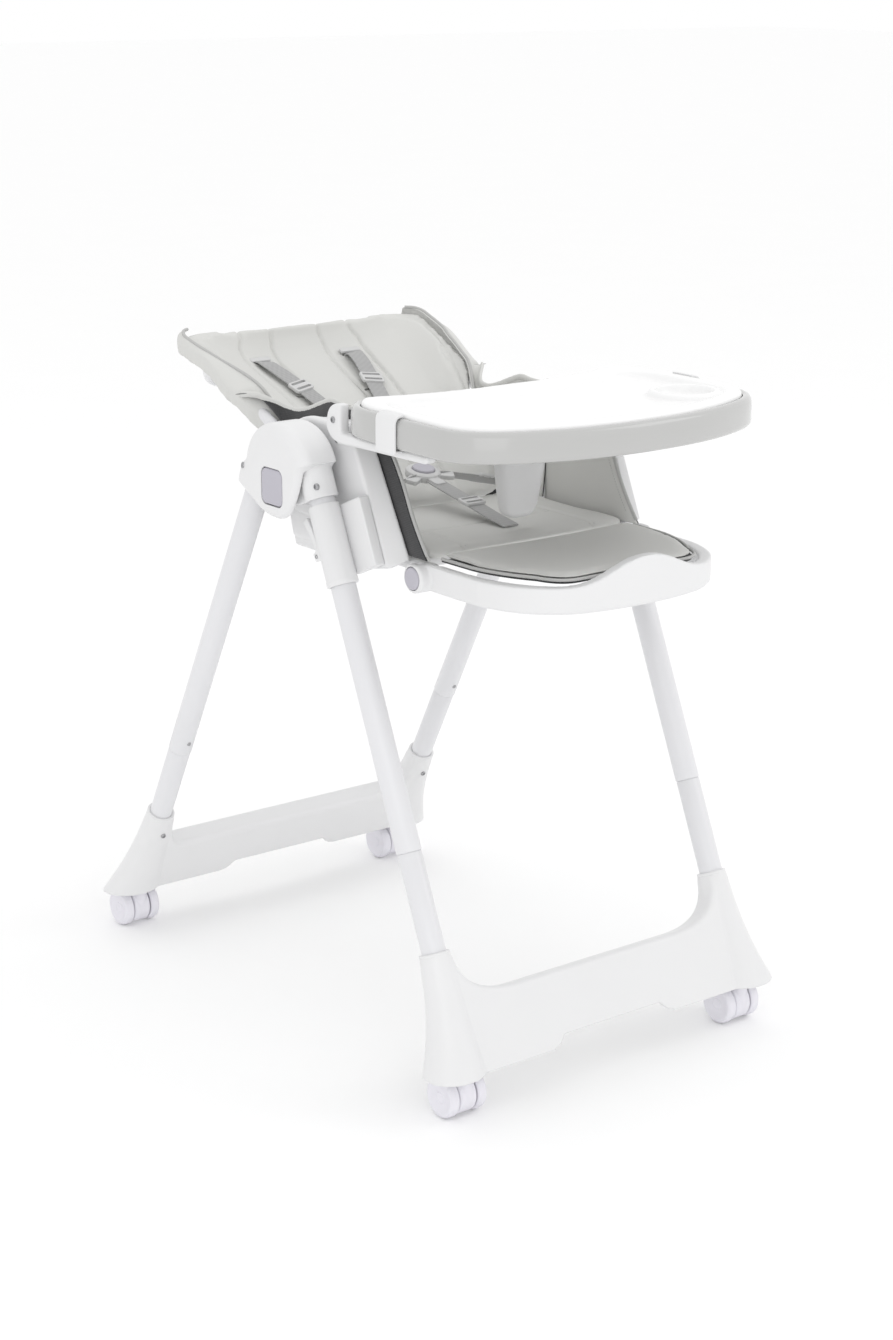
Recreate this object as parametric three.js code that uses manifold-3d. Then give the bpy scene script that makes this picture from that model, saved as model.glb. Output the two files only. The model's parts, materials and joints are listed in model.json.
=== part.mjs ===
// Folding baby high chair, in millimetres, +Z up. The chair faces -Y and the baby's left is +X.
import * as THREE from 'three';
import { mergeVertices } from 'three/addons/utils/BufferGeometryUtils.js';
import Module from 'manifold-3d';

const wasm = await Module();
wasm.setup();

// ---- Driving dimensions -------------------------------------------------------------------

// Clearances between neighbours
const GAP = 0.3;
const RUNNING_GAP = 0.6;

// Folding hubs: both legs are tangent to a circle round each hub
const HUB_Y = -5;
const HUB_Z = 735;
const LEG_X = 230;
const TUBE_RADIUS = 16;
const HUB_INNER_X = LEG_X - TUBE_RADIUS - 2.5;
const HUB_OUTER_X = LEG_X + TUBE_RADIUS + 16;
const HUB_RADIUS = 67;
const HUB_WALL = 9.4;
const HUB_INNER_WALL = 2.2;
const HUB_RIM = 4.6;
const HUB_ROUND = 14;
const HUB_DISC_RADIUS = 34;
const PIN_RADIUS = 8;
const BUTTON_SIZE = 45;
const BUTTON_TRAVEL = 4;
const BUTTON_CENTRE_Y = -3;
const BUTTON_CENTRE_Z = -10;

// Legs
const LEG_OFFSET = 53.7;
const FRONT_LEAN = 23.72;
const REAR_LEAN = 27.63;
const LOWER_TUBE_STEP = 0.7;
const LOWER_TUBE_RADIUS = TUBE_RADIUS - LOWER_TUBE_STEP;
const TUBE_WALL = 1.6;
const TUBE_NECK_LENGTH = 34;
const COLLAR_WALL = 5;
const COLLAR_BOTTOM = -43;
const COLLAR_TOP = 18;
const FRONT_TUBE_TOP = -12;
const REAR_TUBE_TOP = 10;
const SOCKET_BOTTOM = -50;
const FRONT_SEAM_Z = 308.91;
const REAR_SEAM_Z = 301.86;
const FRONT_COLLAR_Z = 192.64;
const REAR_COLLAR_Z = 192.89;
const FOOT_SOCKET_DEPTH = 62;

// Feet
const FOOT_BOTTOM_Z = 57;
const FOOT_ARCH_Z = 70;
const FOOT_ARCH_HALF = 80;
const FOOT_ARCH_RUN = 25;
const FOOT_BAR_TOP_Z = 138;
const FOOT_BAR_THICKNESS = 34;
const FOOT_BAR_WALL = 4;
const FOOT_BASE_X = LEG_X + 11;
const FOOT_BASE_RX = 42;
const FOOT_BASE_RY = 35;
const FOOT_WALL = 3.6;
const FRONT_WEB_RUN = 82;
const REAR_WEB_RUN = 26;

// Casters
const WHEEL_RADIUS = 26.5;
const WHEEL_WIDTH = 14;
const WHEEL_HALF_GAP = 14;
const CASTER_TRAIL = 16;
const STEM_RADIUS = 5.4;
const STEM_LENGTH = 26;
const AXLE_RADIUS = 3;
const HOOD_HALF_WIDTH = 12.6;
const HOOD_RADIUS = 25;
const PEDAL_HALF_WIDTH = 10;
const PEDAL_REACH = 42;
const STEM_INSET_Y = 3;

// Height sleeves that carry the seat down the front legs
const SLEEVE_WALL = 3;
const SLEEVE_TOP = -51;
const SLEEVE_BOTTOM = -152.6;
const SLEEVE_PLATE_FRONT = -LEG_OFFSET - 54.8;
const SLEEVE_PLATE_THICKNESS = 14;
const LEVER_THICKNESS = 16;

// Seat
const PANEL_OUTER_X = HUB_INNER_X - 11.8;
const PANEL_THICKNESS = 26.7;
const PANEL_INNER_X = PANEL_OUTER_X - PANEL_THICKNESS;
const PANEL_WALL = 5;
const PANEL_HOLLOW_SHARE = 0.12;
const ARM_INNER_X = LEG_X - TUBE_RADIUS;
const ARM_OUTER_X = ARM_INNER_X + 14;
const ARM_FRONT_Y = -283;
const ARM_BLOCK_FRONT_Y = -108;
const ARM_REAR_Y = -77;
const ARM_TOP_Z = HUB_Z + 69.2;
const ARM_BAR_DEPTH = 12;
const ARM_BLOCK_TOP_Z = HUB_Z + 104;
const SEAT_FRONT_Y = -204;
const SEAT_REAR_Y = 30;
const SEAT_TOP_Z = HUB_Z - 69;
const SEAT_PAD_THICKNESS = 14;
const SEAT_PAD_HALF = PANEL_INNER_X - 10;
const SHELL_THICKNESS = 12;
const SHELL_FRONT_Y = -180;
const SHELL_REAR_Y = 14;
const WING_INNER_X = PANEL_INNER_X - 7.6;
const WING_THICKNESS = 6;

// Footrest
const FOOTREST_Y = -200;
const FOOTREST_Z = HUB_Z - 99;
const FOOTREST_KNOB_RADIUS = 14;
const FOOTREST_BOSS_RADIUS = FOOTREST_KNOB_RADIUS + 4.7;
const FOOTREST_HALF_WIDTH = PANEL_INNER_X;
const FOOTREST_BOSS_INNER_X = FOOTREST_HALF_WIDTH - 9;
const FOOTREST_KNOB_X = FOOTREST_HALF_WIDTH + 7;
const FOOTREST_FRONT_Y = -417;
const FOOTREST_WALL = 14;
const FOOTREST_BOTTOM_Z = HUB_Z - 115;
const FOOTREST_TOP_Z = HUB_Z - 82;
const FOOTREST_HUMP_Z = HUB_Z - 54;
const LEGREST_HALF_WIDTH = FOOTREST_HALF_WIDTH - 18;
const LEGREST_THICKNESS = 8;

// Backrest
const RECLINE_Y = 38;
const RECLINE_Z = HUB_Z - 2;
const BACK_TUBE_X = PANEL_INNER_X + 3;
const PAD_DRAWN_AT = 176;
const BACK_TUBE_RADIUS = 8;
const BACK_ANGLE = 25.5;
const BACK_TOP_Y = 289;
const BACK_TOP_Z = HUB_Z + 134;

// Tray
const TRAY_BOTTOM_Z = HUB_Z + 70;
const TRAY_RIM_Z = HUB_Z + 107;
const TRAY_FRONT_Y = -420;
const TRAY_REAR_Y = -133;
const TRAY_HALF_WIDTH = ARM_OUTER_X + 10;
const TRAY_FLOOR = 5.5;
const TRAY_WALL = 4;
const RIM_WIDTH = 12;
const INSERT_TOP_Z = HUB_Z + 112;
const INSERT_BOTTOM_Z = HUB_Z + 94;
const DISH_INSET = 20;
const DISH_DEPTH = 10;
const CUP_X = TRAY_HALF_WIDTH - 81;
const CUP_Y = -300;
const CUP_RADIUS = 36;
const CUP_DEPTH = 13;
const LATCH_Y = -219;
const LATCH_LENGTH = 38;
const POST_BOTTOM_Z = HUB_Z - 53;
const POST_Y = -168;
const POST_HALF_WIDTH = 36;
const POST_HALF_DEPTH = 27;

// Harness
const WEBBING_WIDTH = 25;
const WEBBING_THICKNESS = 2;
const BUCKLE_Y = 29;
const BUCKLE_Z = HUB_Z - 31;
const BUCKLE_RADIUS = 24;

// Mesh fineness
const ROUND_SIDES = 16;
const WHEEL_SIDES = 14;
const HUB_SIDES = 24;
const SMALL_SIDES = 10;

// ---- Finishes -----------------------------------------------------------------------------

const finish = (color, roughness, metalness = 0) => ({ color, roughness, metalness });
const WHITE = finish(0xf2f2f3, 0.35);
const TRAY_GREY = finish(0xcfcfcc, 0.25);
const BUTTON_GREY = finish(0xbab7c0, 0.45);
const CASTER_WHITE = finish(0xe4e2ea, 0.4);
const LEATHER = finish(0xd2d2cf, 0.55);
const CHARCOAL = finish(0x3c3c3c, 0.9);
const WEBBING = finish(0xb4b4b4, 0.8);
const STEEL = finish(0x9a9a9e, 0.3, 0.9);

// ---- Geometry helpers ---------------------------------------------------------------------

const v2 = (x, y) => new THREE.Vector2(x, y);
const v3 = (x, y, z) => new THREE.Vector3(x, y, z);
const rad = THREE.MathUtils.degToRad;

// The library solid of a closed geometry
function toSolid(geometry) {
  const plain = geometry.clone();
  plain.deleteAttribute('normal');
  plain.deleteAttribute('uv');
  const merged = mergeVertices(plain, 1e-4);
  return new wasm.Manifold(new wasm.Mesh({
    numProp: 3,
    vertProperties: new Float32Array(merged.attributes.position.array),
    triVerts: new Uint32Array(merged.index.array),
  }));
}

function toGeometry(solid) {
  const mesh = solid.getMesh();
  const geometry = new THREE.BufferGeometry();
  geometry.setAttribute('position', new THREE.BufferAttribute(mesh.vertProperties, 3));
  geometry.setIndex(new THREE.BufferAttribute(mesh.triVerts, 1));
  return geometry;
}

const join = (...parts) => toGeometry(parts.map(toSolid).reduce((a, b) => a.add(b)));
const cut = (base, ...tools) => toGeometry(tools.map(toSolid).reduce((a, b) => a.subtract(b), toSolid(base)));
const overlap = (a, b) => toGeometry(toSolid(a).intersect(toSolid(b)));

// The outline of a shape, without a repeated last point
function outlineOf(shape, divisions = 6) {
  const points = shape.getPoints(divisions);
  return points.filter((p, i) => p.distanceTo(points[(i + 1) % points.length]) > 1e-3);
}

// A whole outline from its +X half, which runs from the centre line back to the centre line
function mirrored(half) {
  const other = half.filter((p) => Math.abs(p.x) > 1e-6).map((p) => v2(-p.x, p.y));
  return [...half, ...other.reverse()];
}

// An outline moved inwards by a distance
function inset(outline, distance) {
  const turn = THREE.ShapeUtils.area(outline) > 0 ? 1 : -1;
  return outline.map((point, i) => {
    const before = outline[(i + outline.length - 1) % outline.length];
    const after = outline[(i + 1) % outline.length];
    const a = point.clone().sub(before).normalize();
    const b = after.clone().sub(point).normalize();
    const normal = v2(-(a.y + b.y), a.x + b.x).normalize().multiplyScalar(turn);
    const spread = Math.max(0.5, normal.dot(v2(-b.y, b.x).multiplyScalar(turn)));
    return point.clone().addScaledVector(normal, distance / spread);
  });
}

const onX = (outline, x) => outline.map((p) => v3(x, p.x, p.y));
const onY = (outline, y) => outline.map((p) => v3(p.x, y, p.y));
const onZ = (outline, z) => outline.map((p) => v3(p.x, p.y, z));

// A closed skin through rings of equal point count, capped at both ends
function loft(rings) {
  const count = rings[0].length;
  const points = rings.flat();
  const faces = [];
  for (let r = 0; r + 1 < rings.length; r += 1) {
    for (let i = 0; i < count; i += 1) {
      const a = r * count + i;
      const b = r * count + ((i + 1) % count);
      faces.push([a, b, b + count], [a, b + count, a + count]);
    }
  }
  const cap = (ring, start, sign) => {
    const normal = v3(0, 0, 0);
    ring.forEach((p, i) => normal.add(p.clone().cross(ring[(i + 1) % count])));
    const size = [Math.abs(normal.x), Math.abs(normal.y), Math.abs(normal.z)];
    const drop = size.indexOf(Math.max(...size));
    const flat = ring.map((p) => v2(drop === 0 ? p.y : p.x, drop === 2 ? p.y : p.z));
    const wanted = Math.sign(THREE.ShapeUtils.area(flat)) * sign;
    for (const [i, j, k] of THREE.ShapeUtils.triangulateShape(flat, [])) {
      const turn = Math.sign(THREE.ShapeUtils.area([flat[i], flat[j], flat[k]]));
      faces.push(turn === wanted ? [start + i, start + j, start + k] : [start + i, start + k, start + j]);
    }
  };
  cap(rings[0], 0, -1);
  cap(rings[rings.length - 1], points.length - count, 1);
  const volume = faces.reduce((sum, [i, j, k]) => sum + points[i].dot(points[j].clone().cross(points[k])), 0);
  const geometry = new THREE.BufferGeometry().setFromPoints(points);
  geometry.setIndex(faces.flatMap(([i, j, k]) => (volume > 0 ? [i, j, k] : [i, k, j])));
  return geometry;
}

// A slab between two places along an axis, its edges rounded at either end
function slab(outline, on, from, to, roundFrom = 0, roundTo = 0, steps = 2, narrow = inset) {
  const way = Math.sign(to - from);
  const quarter = Math.PI / 2;
  const levels = [];
  for (let i = 0; roundFrom > 0 && i < steps; i += 1) {
    const angle = (i / steps) * quarter;
    levels.push([roundFrom * (1 - Math.sin(angle)), from + way * roundFrom * (1 - Math.cos(angle))]);
  }
  levels.push([0, from + way * roundFrom], [0, to - way * roundTo]);
  for (let i = 1; roundTo > 0 && i <= steps; i += 1) {
    const angle = (i / steps) * quarter;
    levels.push([roundTo * (1 - Math.cos(angle)), to - way * roundTo * (1 - Math.sin(angle))]);
  }
  return loft(levels.map(([depth, at]) => on(narrow(outline, depth), at)));
}

// A round bar along Z
function rod(radius, from, to, sides = ROUND_SIDES) {
  const length = to - from;
  return new THREE.CylinderGeometry(radius, radius, length, sides).rotateX(Math.PI / 2)
    .translate(0, 0, from + length / 2);
}

// A closed profile of [radius, height] points turned about Z
function turned(profile, sides = ROUND_SIDES) {
  return new THREE.LatheGeometry(profile.map(([r, h]) => v2(r, h)), sides).rotateX(Math.PI / 2);
}

function block(x0, x1, y0, y1, z0, z1) {
  return new THREE.BoxGeometry(x1 - x0, y1 - y0, z1 - z0)
    .translate((x0 + x1) / 2, (y0 + y1) / 2, (z0 + z1) / 2);
}

function ellipse(rx, ry, cx, cy, sides = ROUND_SIDES) {
  return Array.from({ length: sides }, (_, i) => {
    const angle = (i / sides) * 2 * Math.PI;
    return v2(cx + rx * Math.cos(angle), cy + ry * Math.sin(angle));
  });
}

function roundedRectangle(width, height, radius, cx = 0, cy = 0, divisions = 3) {
  const shape = new THREE.Shape();
  const [w, h] = [width / 2 - radius, height / 2 - radius];
  shape.absarc(cx + w, cy + h, radius, 0, Math.PI / 2);
  shape.absarc(cx - w, cy + h, radius, Math.PI / 2, Math.PI);
  shape.absarc(cx - w, cy - h, radius, Math.PI, 1.5 * Math.PI);
  shape.absarc(cx + w, cy - h, radius, 1.5 * Math.PI, 2 * Math.PI);
  return outlineOf(shape, divisions);
}

function mirrorX(geometry) {
  const copy = geometry.clone().scale(-1, 1, 1);
  if (!copy.index) copy.setIndex([...Array(copy.attributes.position.count).keys()]);
  const index = Array.from(copy.index.array);
  for (let i = 0; i < index.length; i += 3) [index[i + 1], index[i + 2]] = [index[i + 2], index[i + 1]];
  copy.setIndex(index);
  return copy;
}

const chair = new THREE.Group();

function addPart(parent, name, geometry, look) {
  const material = new THREE.MeshStandardMaterial(look);
  const mesh = new THREE.Mesh(geometry, material);
  mesh.name = name;
  parent.add(mesh);
  return mesh;
}

// Adds a +X geometry as the left part and its mirror image as the right part
function addPair(parent, name, geometry, look) {
  addPart(parent, `${name}_left`, geometry, look);
  addPart(parent, `${name}_right`, mirrorX(geometry), look);
}

// ---- Leg frames: Z runs up the leg and Y across it, from the hub axis ----------------------

function legFrame(lean) {
  const frame = new THREE.Group();
  frame.position.set(0, HUB_Y, HUB_Z);
  frame.rotation.x = rad(lean);
  chair.add(frame);
  return frame;
}

const frontFrame = legFrame(-FRONT_LEAN);
const rearFrame = legFrame(REAR_LEAN);

// A point of a leg frame in the chair's side view, as (y, z)
function legPoint(lean, y, z) {
  const angle = rad(lean);
  return v2(
    HUB_Y + y * Math.cos(angle) - z * Math.sin(angle),
    HUB_Z + y * Math.sin(angle) + z * Math.cos(angle),
  );
}

// The height up a leg frame where a line offset by y crosses a level
function heightAt(lean, y, level) {
  const angle = rad(lean);
  return (level - HUB_Z - y * Math.sin(angle)) / Math.cos(angle);
}

const FRONT_SEAM = heightAt(-FRONT_LEAN, -LEG_OFFSET, FRONT_SEAM_Z);
const REAR_SEAM = heightAt(REAR_LEAN, LEG_OFFSET, REAR_SEAM_Z);
const FRONT_FOOT_TOP = heightAt(-FRONT_LEAN, -LEG_OFFSET, FRONT_COLLAR_Z);
const REAR_FOOT_TOP = heightAt(REAR_LEAN, LEG_OFFSET, REAR_COLLAR_Z);

// ---- Tubes --------------------------------------------------------------------------------

function upperTube(offset, seam, top) {
  const inner = TUBE_RADIUS - TUBE_WALL;
  return turned([[inner, seam], [TUBE_RADIUS, seam], [TUBE_RADIUS, top], [inner, top], [inner, seam]])
    .translate(LEG_X, offset, 0);
}

function lowerTube(offset, seam, footTop) {
  const bottom = footTop - FOOT_SOCKET_DEPTH;
  const neck = TUBE_RADIUS - TUBE_WALL - GAP;
  const bore = neck - TUBE_WALL;
  return turned([
    [bore, bottom], [LOWER_TUBE_RADIUS, bottom], [LOWER_TUBE_RADIUS, seam - GAP],
    [neck, seam - GAP], [neck, seam + TUBE_NECK_LENGTH], [bore, seam + TUBE_NECK_LENGTH], [bore, bottom],
  ]).translate(LEG_X, offset, 0);
}

const COLLAR_RADIUS = TUBE_RADIUS + COLLAR_WALL;
addPair(frontFrame, 'front_upper_tube', upperTube(-LEG_OFFSET, FRONT_SEAM, FRONT_TUBE_TOP), WHITE);
addPair(frontFrame, 'front_lower_tube', lowerTube(-LEG_OFFSET, FRONT_SEAM, FRONT_FOOT_TOP), WHITE);
addPair(rearFrame, 'rear_upper_tube', upperTube(LEG_OFFSET, REAR_SEAM, REAR_TUBE_TOP), WHITE);
addPair(rearFrame, 'rear_lower_tube', lowerTube(LEG_OFFSET, REAR_SEAM, REAR_FOOT_TOP), WHITE);

// ---- Feet ---------------------------------------------------------------------------------

// The place of a leg's centre line on a level, as a y value
const legY = (lean, offset, level) => legPoint(lean, offset, heightAt(lean, offset, level)).x;

const stemY = (lean, offset) => legY(lean, offset, FOOT_BOTTOM_Z) - STEM_INSET_Y;

function footPart(lean, offset, footTop, webRun) {
  const collarTop = legPoint(lean, offset, footTop);
  const socketRadius = LOWER_TUBE_RADIUS + GAP;
  const angle = rad(lean);
  const topRing = ellipse(socketRadius + FOOT_WALL, socketRadius + FOOT_WALL, 0, 0)
    .map((p) => v3(LEG_X + p.x, collarTop.x + p.y * Math.cos(angle), collarTop.y + p.y * Math.sin(angle)));
  const baseY = stemY(lean, offset) + STEM_INSET_Y * 2;
  const baseRing = onZ(ellipse(FOOT_BASE_RX, FOOT_BASE_RY, FOOT_BASE_X, baseY), FOOT_BOTTOM_Z);
  const middleRing = topRing.map((p, i) => p.clone().lerp(baseRing[i], 0.5).lerp(v3(LEG_X, p.y, p.z), 0.04));
  const leg = loft([topRing, middleRing, baseRing]);
  const socket = rod(socketRadius, footTop - FOOT_SOCKET_DEPTH - GAP, footTop + 20)
    .translate(LEG_X, offset, 0).rotateX(angle).translate(0, HUB_Y, HUB_Z);

  // Crossbar, drawn in the leg's plane
  const barTop = heightAt(lean, offset, FOOT_BAR_TOP_Z);
  const webTop = footTop - 6;
  const webX = LEG_X - socketRadius - FOOT_WALL + 2;
  const barDepth = barTop - heightAt(lean, offset, FOOT_BOTTOM_Z) + 60;
  const barShape = (wall) => {
    const shape = new THREE.Shape();
    shape.moveTo(0, barTop - wall);
    shape.lineTo(webX - webRun, barTop - wall);
    shape.quadraticCurveTo(webX - 4, barTop - wall, webX, webTop - wall);
    shape.lineTo(LEG_X, webTop - wall);
    shape.lineTo(LEG_X, barTop - barDepth);
    shape.lineTo(0, barTop - barDepth);
    return mirrored(outlineOf(shape, 6));
  };
  const barFrom = offset - FOOT_BAR_THICKNESS / 2;
  const barTo = offset + FOOT_BAR_THICKNESS / 2;
  const toChair = (geometry) => geometry.rotateX(angle).translate(0, HUB_Y, HUB_Z);
  const bar = toChair(slab(barShape(0), onY, barFrom, barTo, 7, 7));
  const hollowTop = barTop - FOOT_BAR_WALL;
  const hollowHalf = FOOT_BASE_X - FOOT_BASE_RX - 14;
  const hollow = toChair(block(-hollowHalf, hollowHalf, barFrom + FOOT_BAR_WALL, barTo - FOOT_BAR_WALL,
    barTop - barDepth - 5, hollowTop));

  // Level underside, raised in the middle
  const underside = new THREE.Shape();
  underside.moveTo(-FOOT_BASE_X * 2, 0);
  underside.lineTo(-FOOT_BASE_X * 2, FOOT_BOTTOM_Z);
  underside.lineTo(-FOOT_ARCH_HALF - FOOT_ARCH_RUN, FOOT_BOTTOM_Z);
  underside.lineTo(-FOOT_ARCH_HALF, FOOT_ARCH_Z);
  underside.lineTo(FOOT_ARCH_HALF, FOOT_ARCH_Z);
  underside.lineTo(FOOT_ARCH_HALF + FOOT_ARCH_RUN, FOOT_BOTTOM_Z);
  underside.lineTo(FOOT_BASE_X * 2, FOOT_BOTTOM_Z);
  underside.lineTo(FOOT_BASE_X * 2, 0);
  const ground = slab(outlineOf(underside, 1), onY, baseY - 160, baseY + 160);
  const below = block(-FOOT_BASE_X * 2, FOOT_BASE_X * 2, baseY - 160, baseY + 160, -80, 1);
  const stemBore = STEM_RADIUS + RUNNING_GAP;
  const stemHole = rod(stemBore, FOOT_BOTTOM_Z - 5, FOOT_BOTTOM_Z + STEM_LENGTH + GAP, SMALL_SIDES)
    .translate(LEG_X, stemY(lean, offset), 0);
  return cut(join(leg, mirrorX(leg), bar), hollow, ground, below,
    socket, mirrorX(socket), stemHole, mirrorX(stemHole));
}

addPart(chair, 'front_foot', footPart(-FRONT_LEAN, -LEG_OFFSET, FRONT_FOOT_TOP, FRONT_WEB_RUN), WHITE);
addPart(chair, 'rear_foot', footPart(REAR_LEAN, LEG_OFFSET, REAR_FOOT_TOP, REAR_WEB_RUN), WHITE);

// ---- Casters ------------------------------------------------------------------------------

// One caster with its axle at the origin in plan and its stem in front of it
function addCaster(name, x, y) {
  const caster = new THREE.Group();
  caster.position.set(x, y + CASTER_TRAIL, 0);
  chair.add(caster);
  const axleZ = WHEEL_RADIUS;
  const hoodShape = new THREE.Shape();
  hoodShape.moveTo(4, -6);
  hoodShape.lineTo(4, 6);
  hoodShape.absarc(0, 0, HOOD_RADIUS, rad(88), rad(238));
  const boss = ellipse(8, 8, 0, 0, SMALL_SIDES);
  const hood = slab(outlineOf(hoodShape, 7), onX, -HOOD_HALF_WIDTH, HOOD_HALF_WIDTH, 2, 2, 1)
    .translate(0, 0, axleZ);
  const hub = slab(boss, onX, -HOOD_HALF_WIDTH, HOOD_HALF_WIDTH).translate(0, 0, axleZ);
  const neck = rod(STEM_RADIUS + 4, axleZ, FOOT_BOTTOM_Z - GAP * 2, SMALL_SIDES)
    .translate(0, -CASTER_TRAIL, 0);
  const stem = rod(STEM_RADIUS, axleZ, FOOT_BOTTOM_Z + STEM_LENGTH - GAP, SMALL_SIDES)
    .translate(0, -CASTER_TRAIL, 0);
  const bore = slab(ellipse(AXLE_RADIUS + GAP, AXLE_RADIUS + GAP, 0, 0, SMALL_SIDES), onX, -30, 30)
    .translate(0, 0, axleZ);
  addPart(caster, `caster_housing_${name}`, cut(join(hood, hub, neck, stem), bore), CASTER_WHITE);

  const inner = WHEEL_HALF_GAP;
  const outer = WHEEL_HALF_GAP + WHEEL_WIDTH;
  const wheel = [[0, outer - 1], [WHEEL_RADIUS - 6, outer], [WHEEL_RADIUS - 2, outer - 1.5],
    [WHEEL_RADIUS, outer - 5], [WHEEL_RADIUS, inner + 3], [WHEEL_RADIUS - 2.5, inner], [AXLE_RADIUS, inner]];
  const profile = [...wheel, ...wheel.map(([r, h]) => [r, -h]).reverse()];
  const wheels = turned(profile.reverse(), WHEEL_SIDES).rotateY(Math.PI / 2).translate(0, 0, axleZ);
  addPart(caster, `caster_wheels_${name}`, toGeometry(toSolid(wheels)), CASTER_WHITE);

  const pedalShape = new THREE.Shape();
  pedalShape.moveTo(5, 12.5);
  pedalShape.lineTo(12, 12.5);
  pedalShape.quadraticCurveTo(20, 22, PEDAL_REACH - 12, 24.5);
  pedalShape.lineTo(PEDAL_REACH, 26);
  pedalShape.lineTo(PEDAL_REACH, 29);
  pedalShape.lineTo(PEDAL_REACH - 14, 28.6);
  pedalShape.quadraticCurveTo(14, 26, 5, 19);
  const pedal = slab(outlineOf(pedalShape, 4), onX, -PEDAL_HALF_WIDTH, PEDAL_HALF_WIDTH)
    .translate(0, 0, axleZ);
  addPart(caster, `brake_pedal_${name}`, pedal, BUTTON_GREY);
}

for (const [end, lean, offset] of [['front', -FRONT_LEAN, -LEG_OFFSET], ['rear', REAR_LEAN, LEG_OFFSET]]) {
  for (const [side, sign] of [['left', 1], ['right', -1]]) {
    addCaster(`${end}_${side}`, sign * LEG_X, stemY(lean, offset));
  }
}

// ---- Folding hubs -------------------------------------------------------------------------

// Casing outline about the hub axis in side view, from the lower front round over the top
function casingOutline() {
  const shape = new THREE.Shape();
  shape.moveTo(-40, -34);
  shape.quadraticCurveTo(-54, -12, -60, 10);
  shape.quadraticCurveTo(-64, 24, -73, 28);
  shape.quadraticCurveTo(-66, 48, -45, 60);
  shape.bezierCurveTo(-18, 75, 28, 74, 50, 47);
  shape.quadraticCurveTo(61, 32, 62, 18);
  shape.lineTo(70, 12);
  shape.quadraticCurveTo(83, -2, 84, -17);
  shape.lineTo(30, -45);
  shape.quadraticCurveTo(-20, -62, -40, -34);
  return outlineOf(shape, 4);
}

function hingeCasing() {
  const toHub = (geometry) => geometry.translate(0, HUB_Y, HUB_Z);
  const towardsAxis = (outline, depth) =>
    outline.map((p) => p.clone().multiplyScalar(1 - depth / HUB_RADIUS));
  const shell = slab(casingOutline(), onX, HUB_INNER_X, HUB_OUTER_X, 0, HUB_ROUND, 2, towardsAxis);
  const pocketFrom = HUB_INNER_X + HUB_INNER_WALL;
  const pocketTo = HUB_OUTER_X - HUB_WALL;
  const round = ellipse(HUB_RADIUS - HUB_RIM, HUB_RADIUS - HUB_RIM, 0, 0, HUB_SIDES);
  const pocket = slab(round, onX, pocketFrom, pocketTo);
  const mouthShape = new THREE.Shape();
  mouthShape.moveTo(0, 0);
  mouthShape.lineTo(-100, 30);
  mouthShape.lineTo(-100, -100);
  mouthShape.lineTo(28, -100);
  mouthShape.lineTo(28, -30);
  const mouth = slab(outlineOf(mouthShape, 1), onX, pocketFrom, pocketTo);
  const socketBore = rod(TUBE_RADIUS + GAP, SOCKET_BOTTOM - 60, REAR_TUBE_TOP + GAP)
    .translate(LEG_X, LEG_OFFSET, 0).rotateX(rad(REAR_LEAN));
  const socketShape = [v2(LEG_OFFSET - COLLAR_RADIUS + 1, SOCKET_BOTTOM - 40), v2(100, SOCKET_BOTTOM - 40),
    v2(100, COLLAR_TOP), v2(LEG_OFFSET - COLLAR_RADIUS + 1, COLLAR_TOP)];
  const socketKeep = slab(socketShape, onX, pocketFrom - 1, pocketTo + 1).rotateX(rad(REAR_LEAN));
  const discRoom = slab(ellipse(HUB_DISC_RADIUS + 1, HUB_DISC_RADIUS + 1, 0, 0, HUB_SIDES),
    onX, pocketFrom, pocketTo);
  const hollow = join(cut(join(pocket, mouth), socketKeep), discRoom);
  const buttonHole = slab(
    roundedRectangle(BUTTON_SIZE + GAP * 4, BUTTON_SIZE + GAP * 4, 9, BUTTON_CENTRE_Y, BUTTON_CENTRE_Z),
    onX, pocketTo - 1, HUB_OUTER_X + 5,
  );
  return toHub(cut(shell, hollow, socketBore, buttonHole));
}
addPair(chair, 'hinge_casing', hingeCasing(), WHITE);

const buttonOuter = HUB_OUTER_X + 0.6;
const buttonInner = HUB_OUTER_X - HUB_WALL + GAP * 2;
addPair(chair, 'fold_button', slab(
  roundedRectangle(BUTTON_SIZE, BUTTON_SIZE, 8, BUTTON_CENTRE_Y, BUTTON_CENTRE_Z),
  onX, buttonInner, buttonOuter, 0, 2,
).translate(0, HUB_Y, HUB_Z), BUTTON_GREY);

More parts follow.
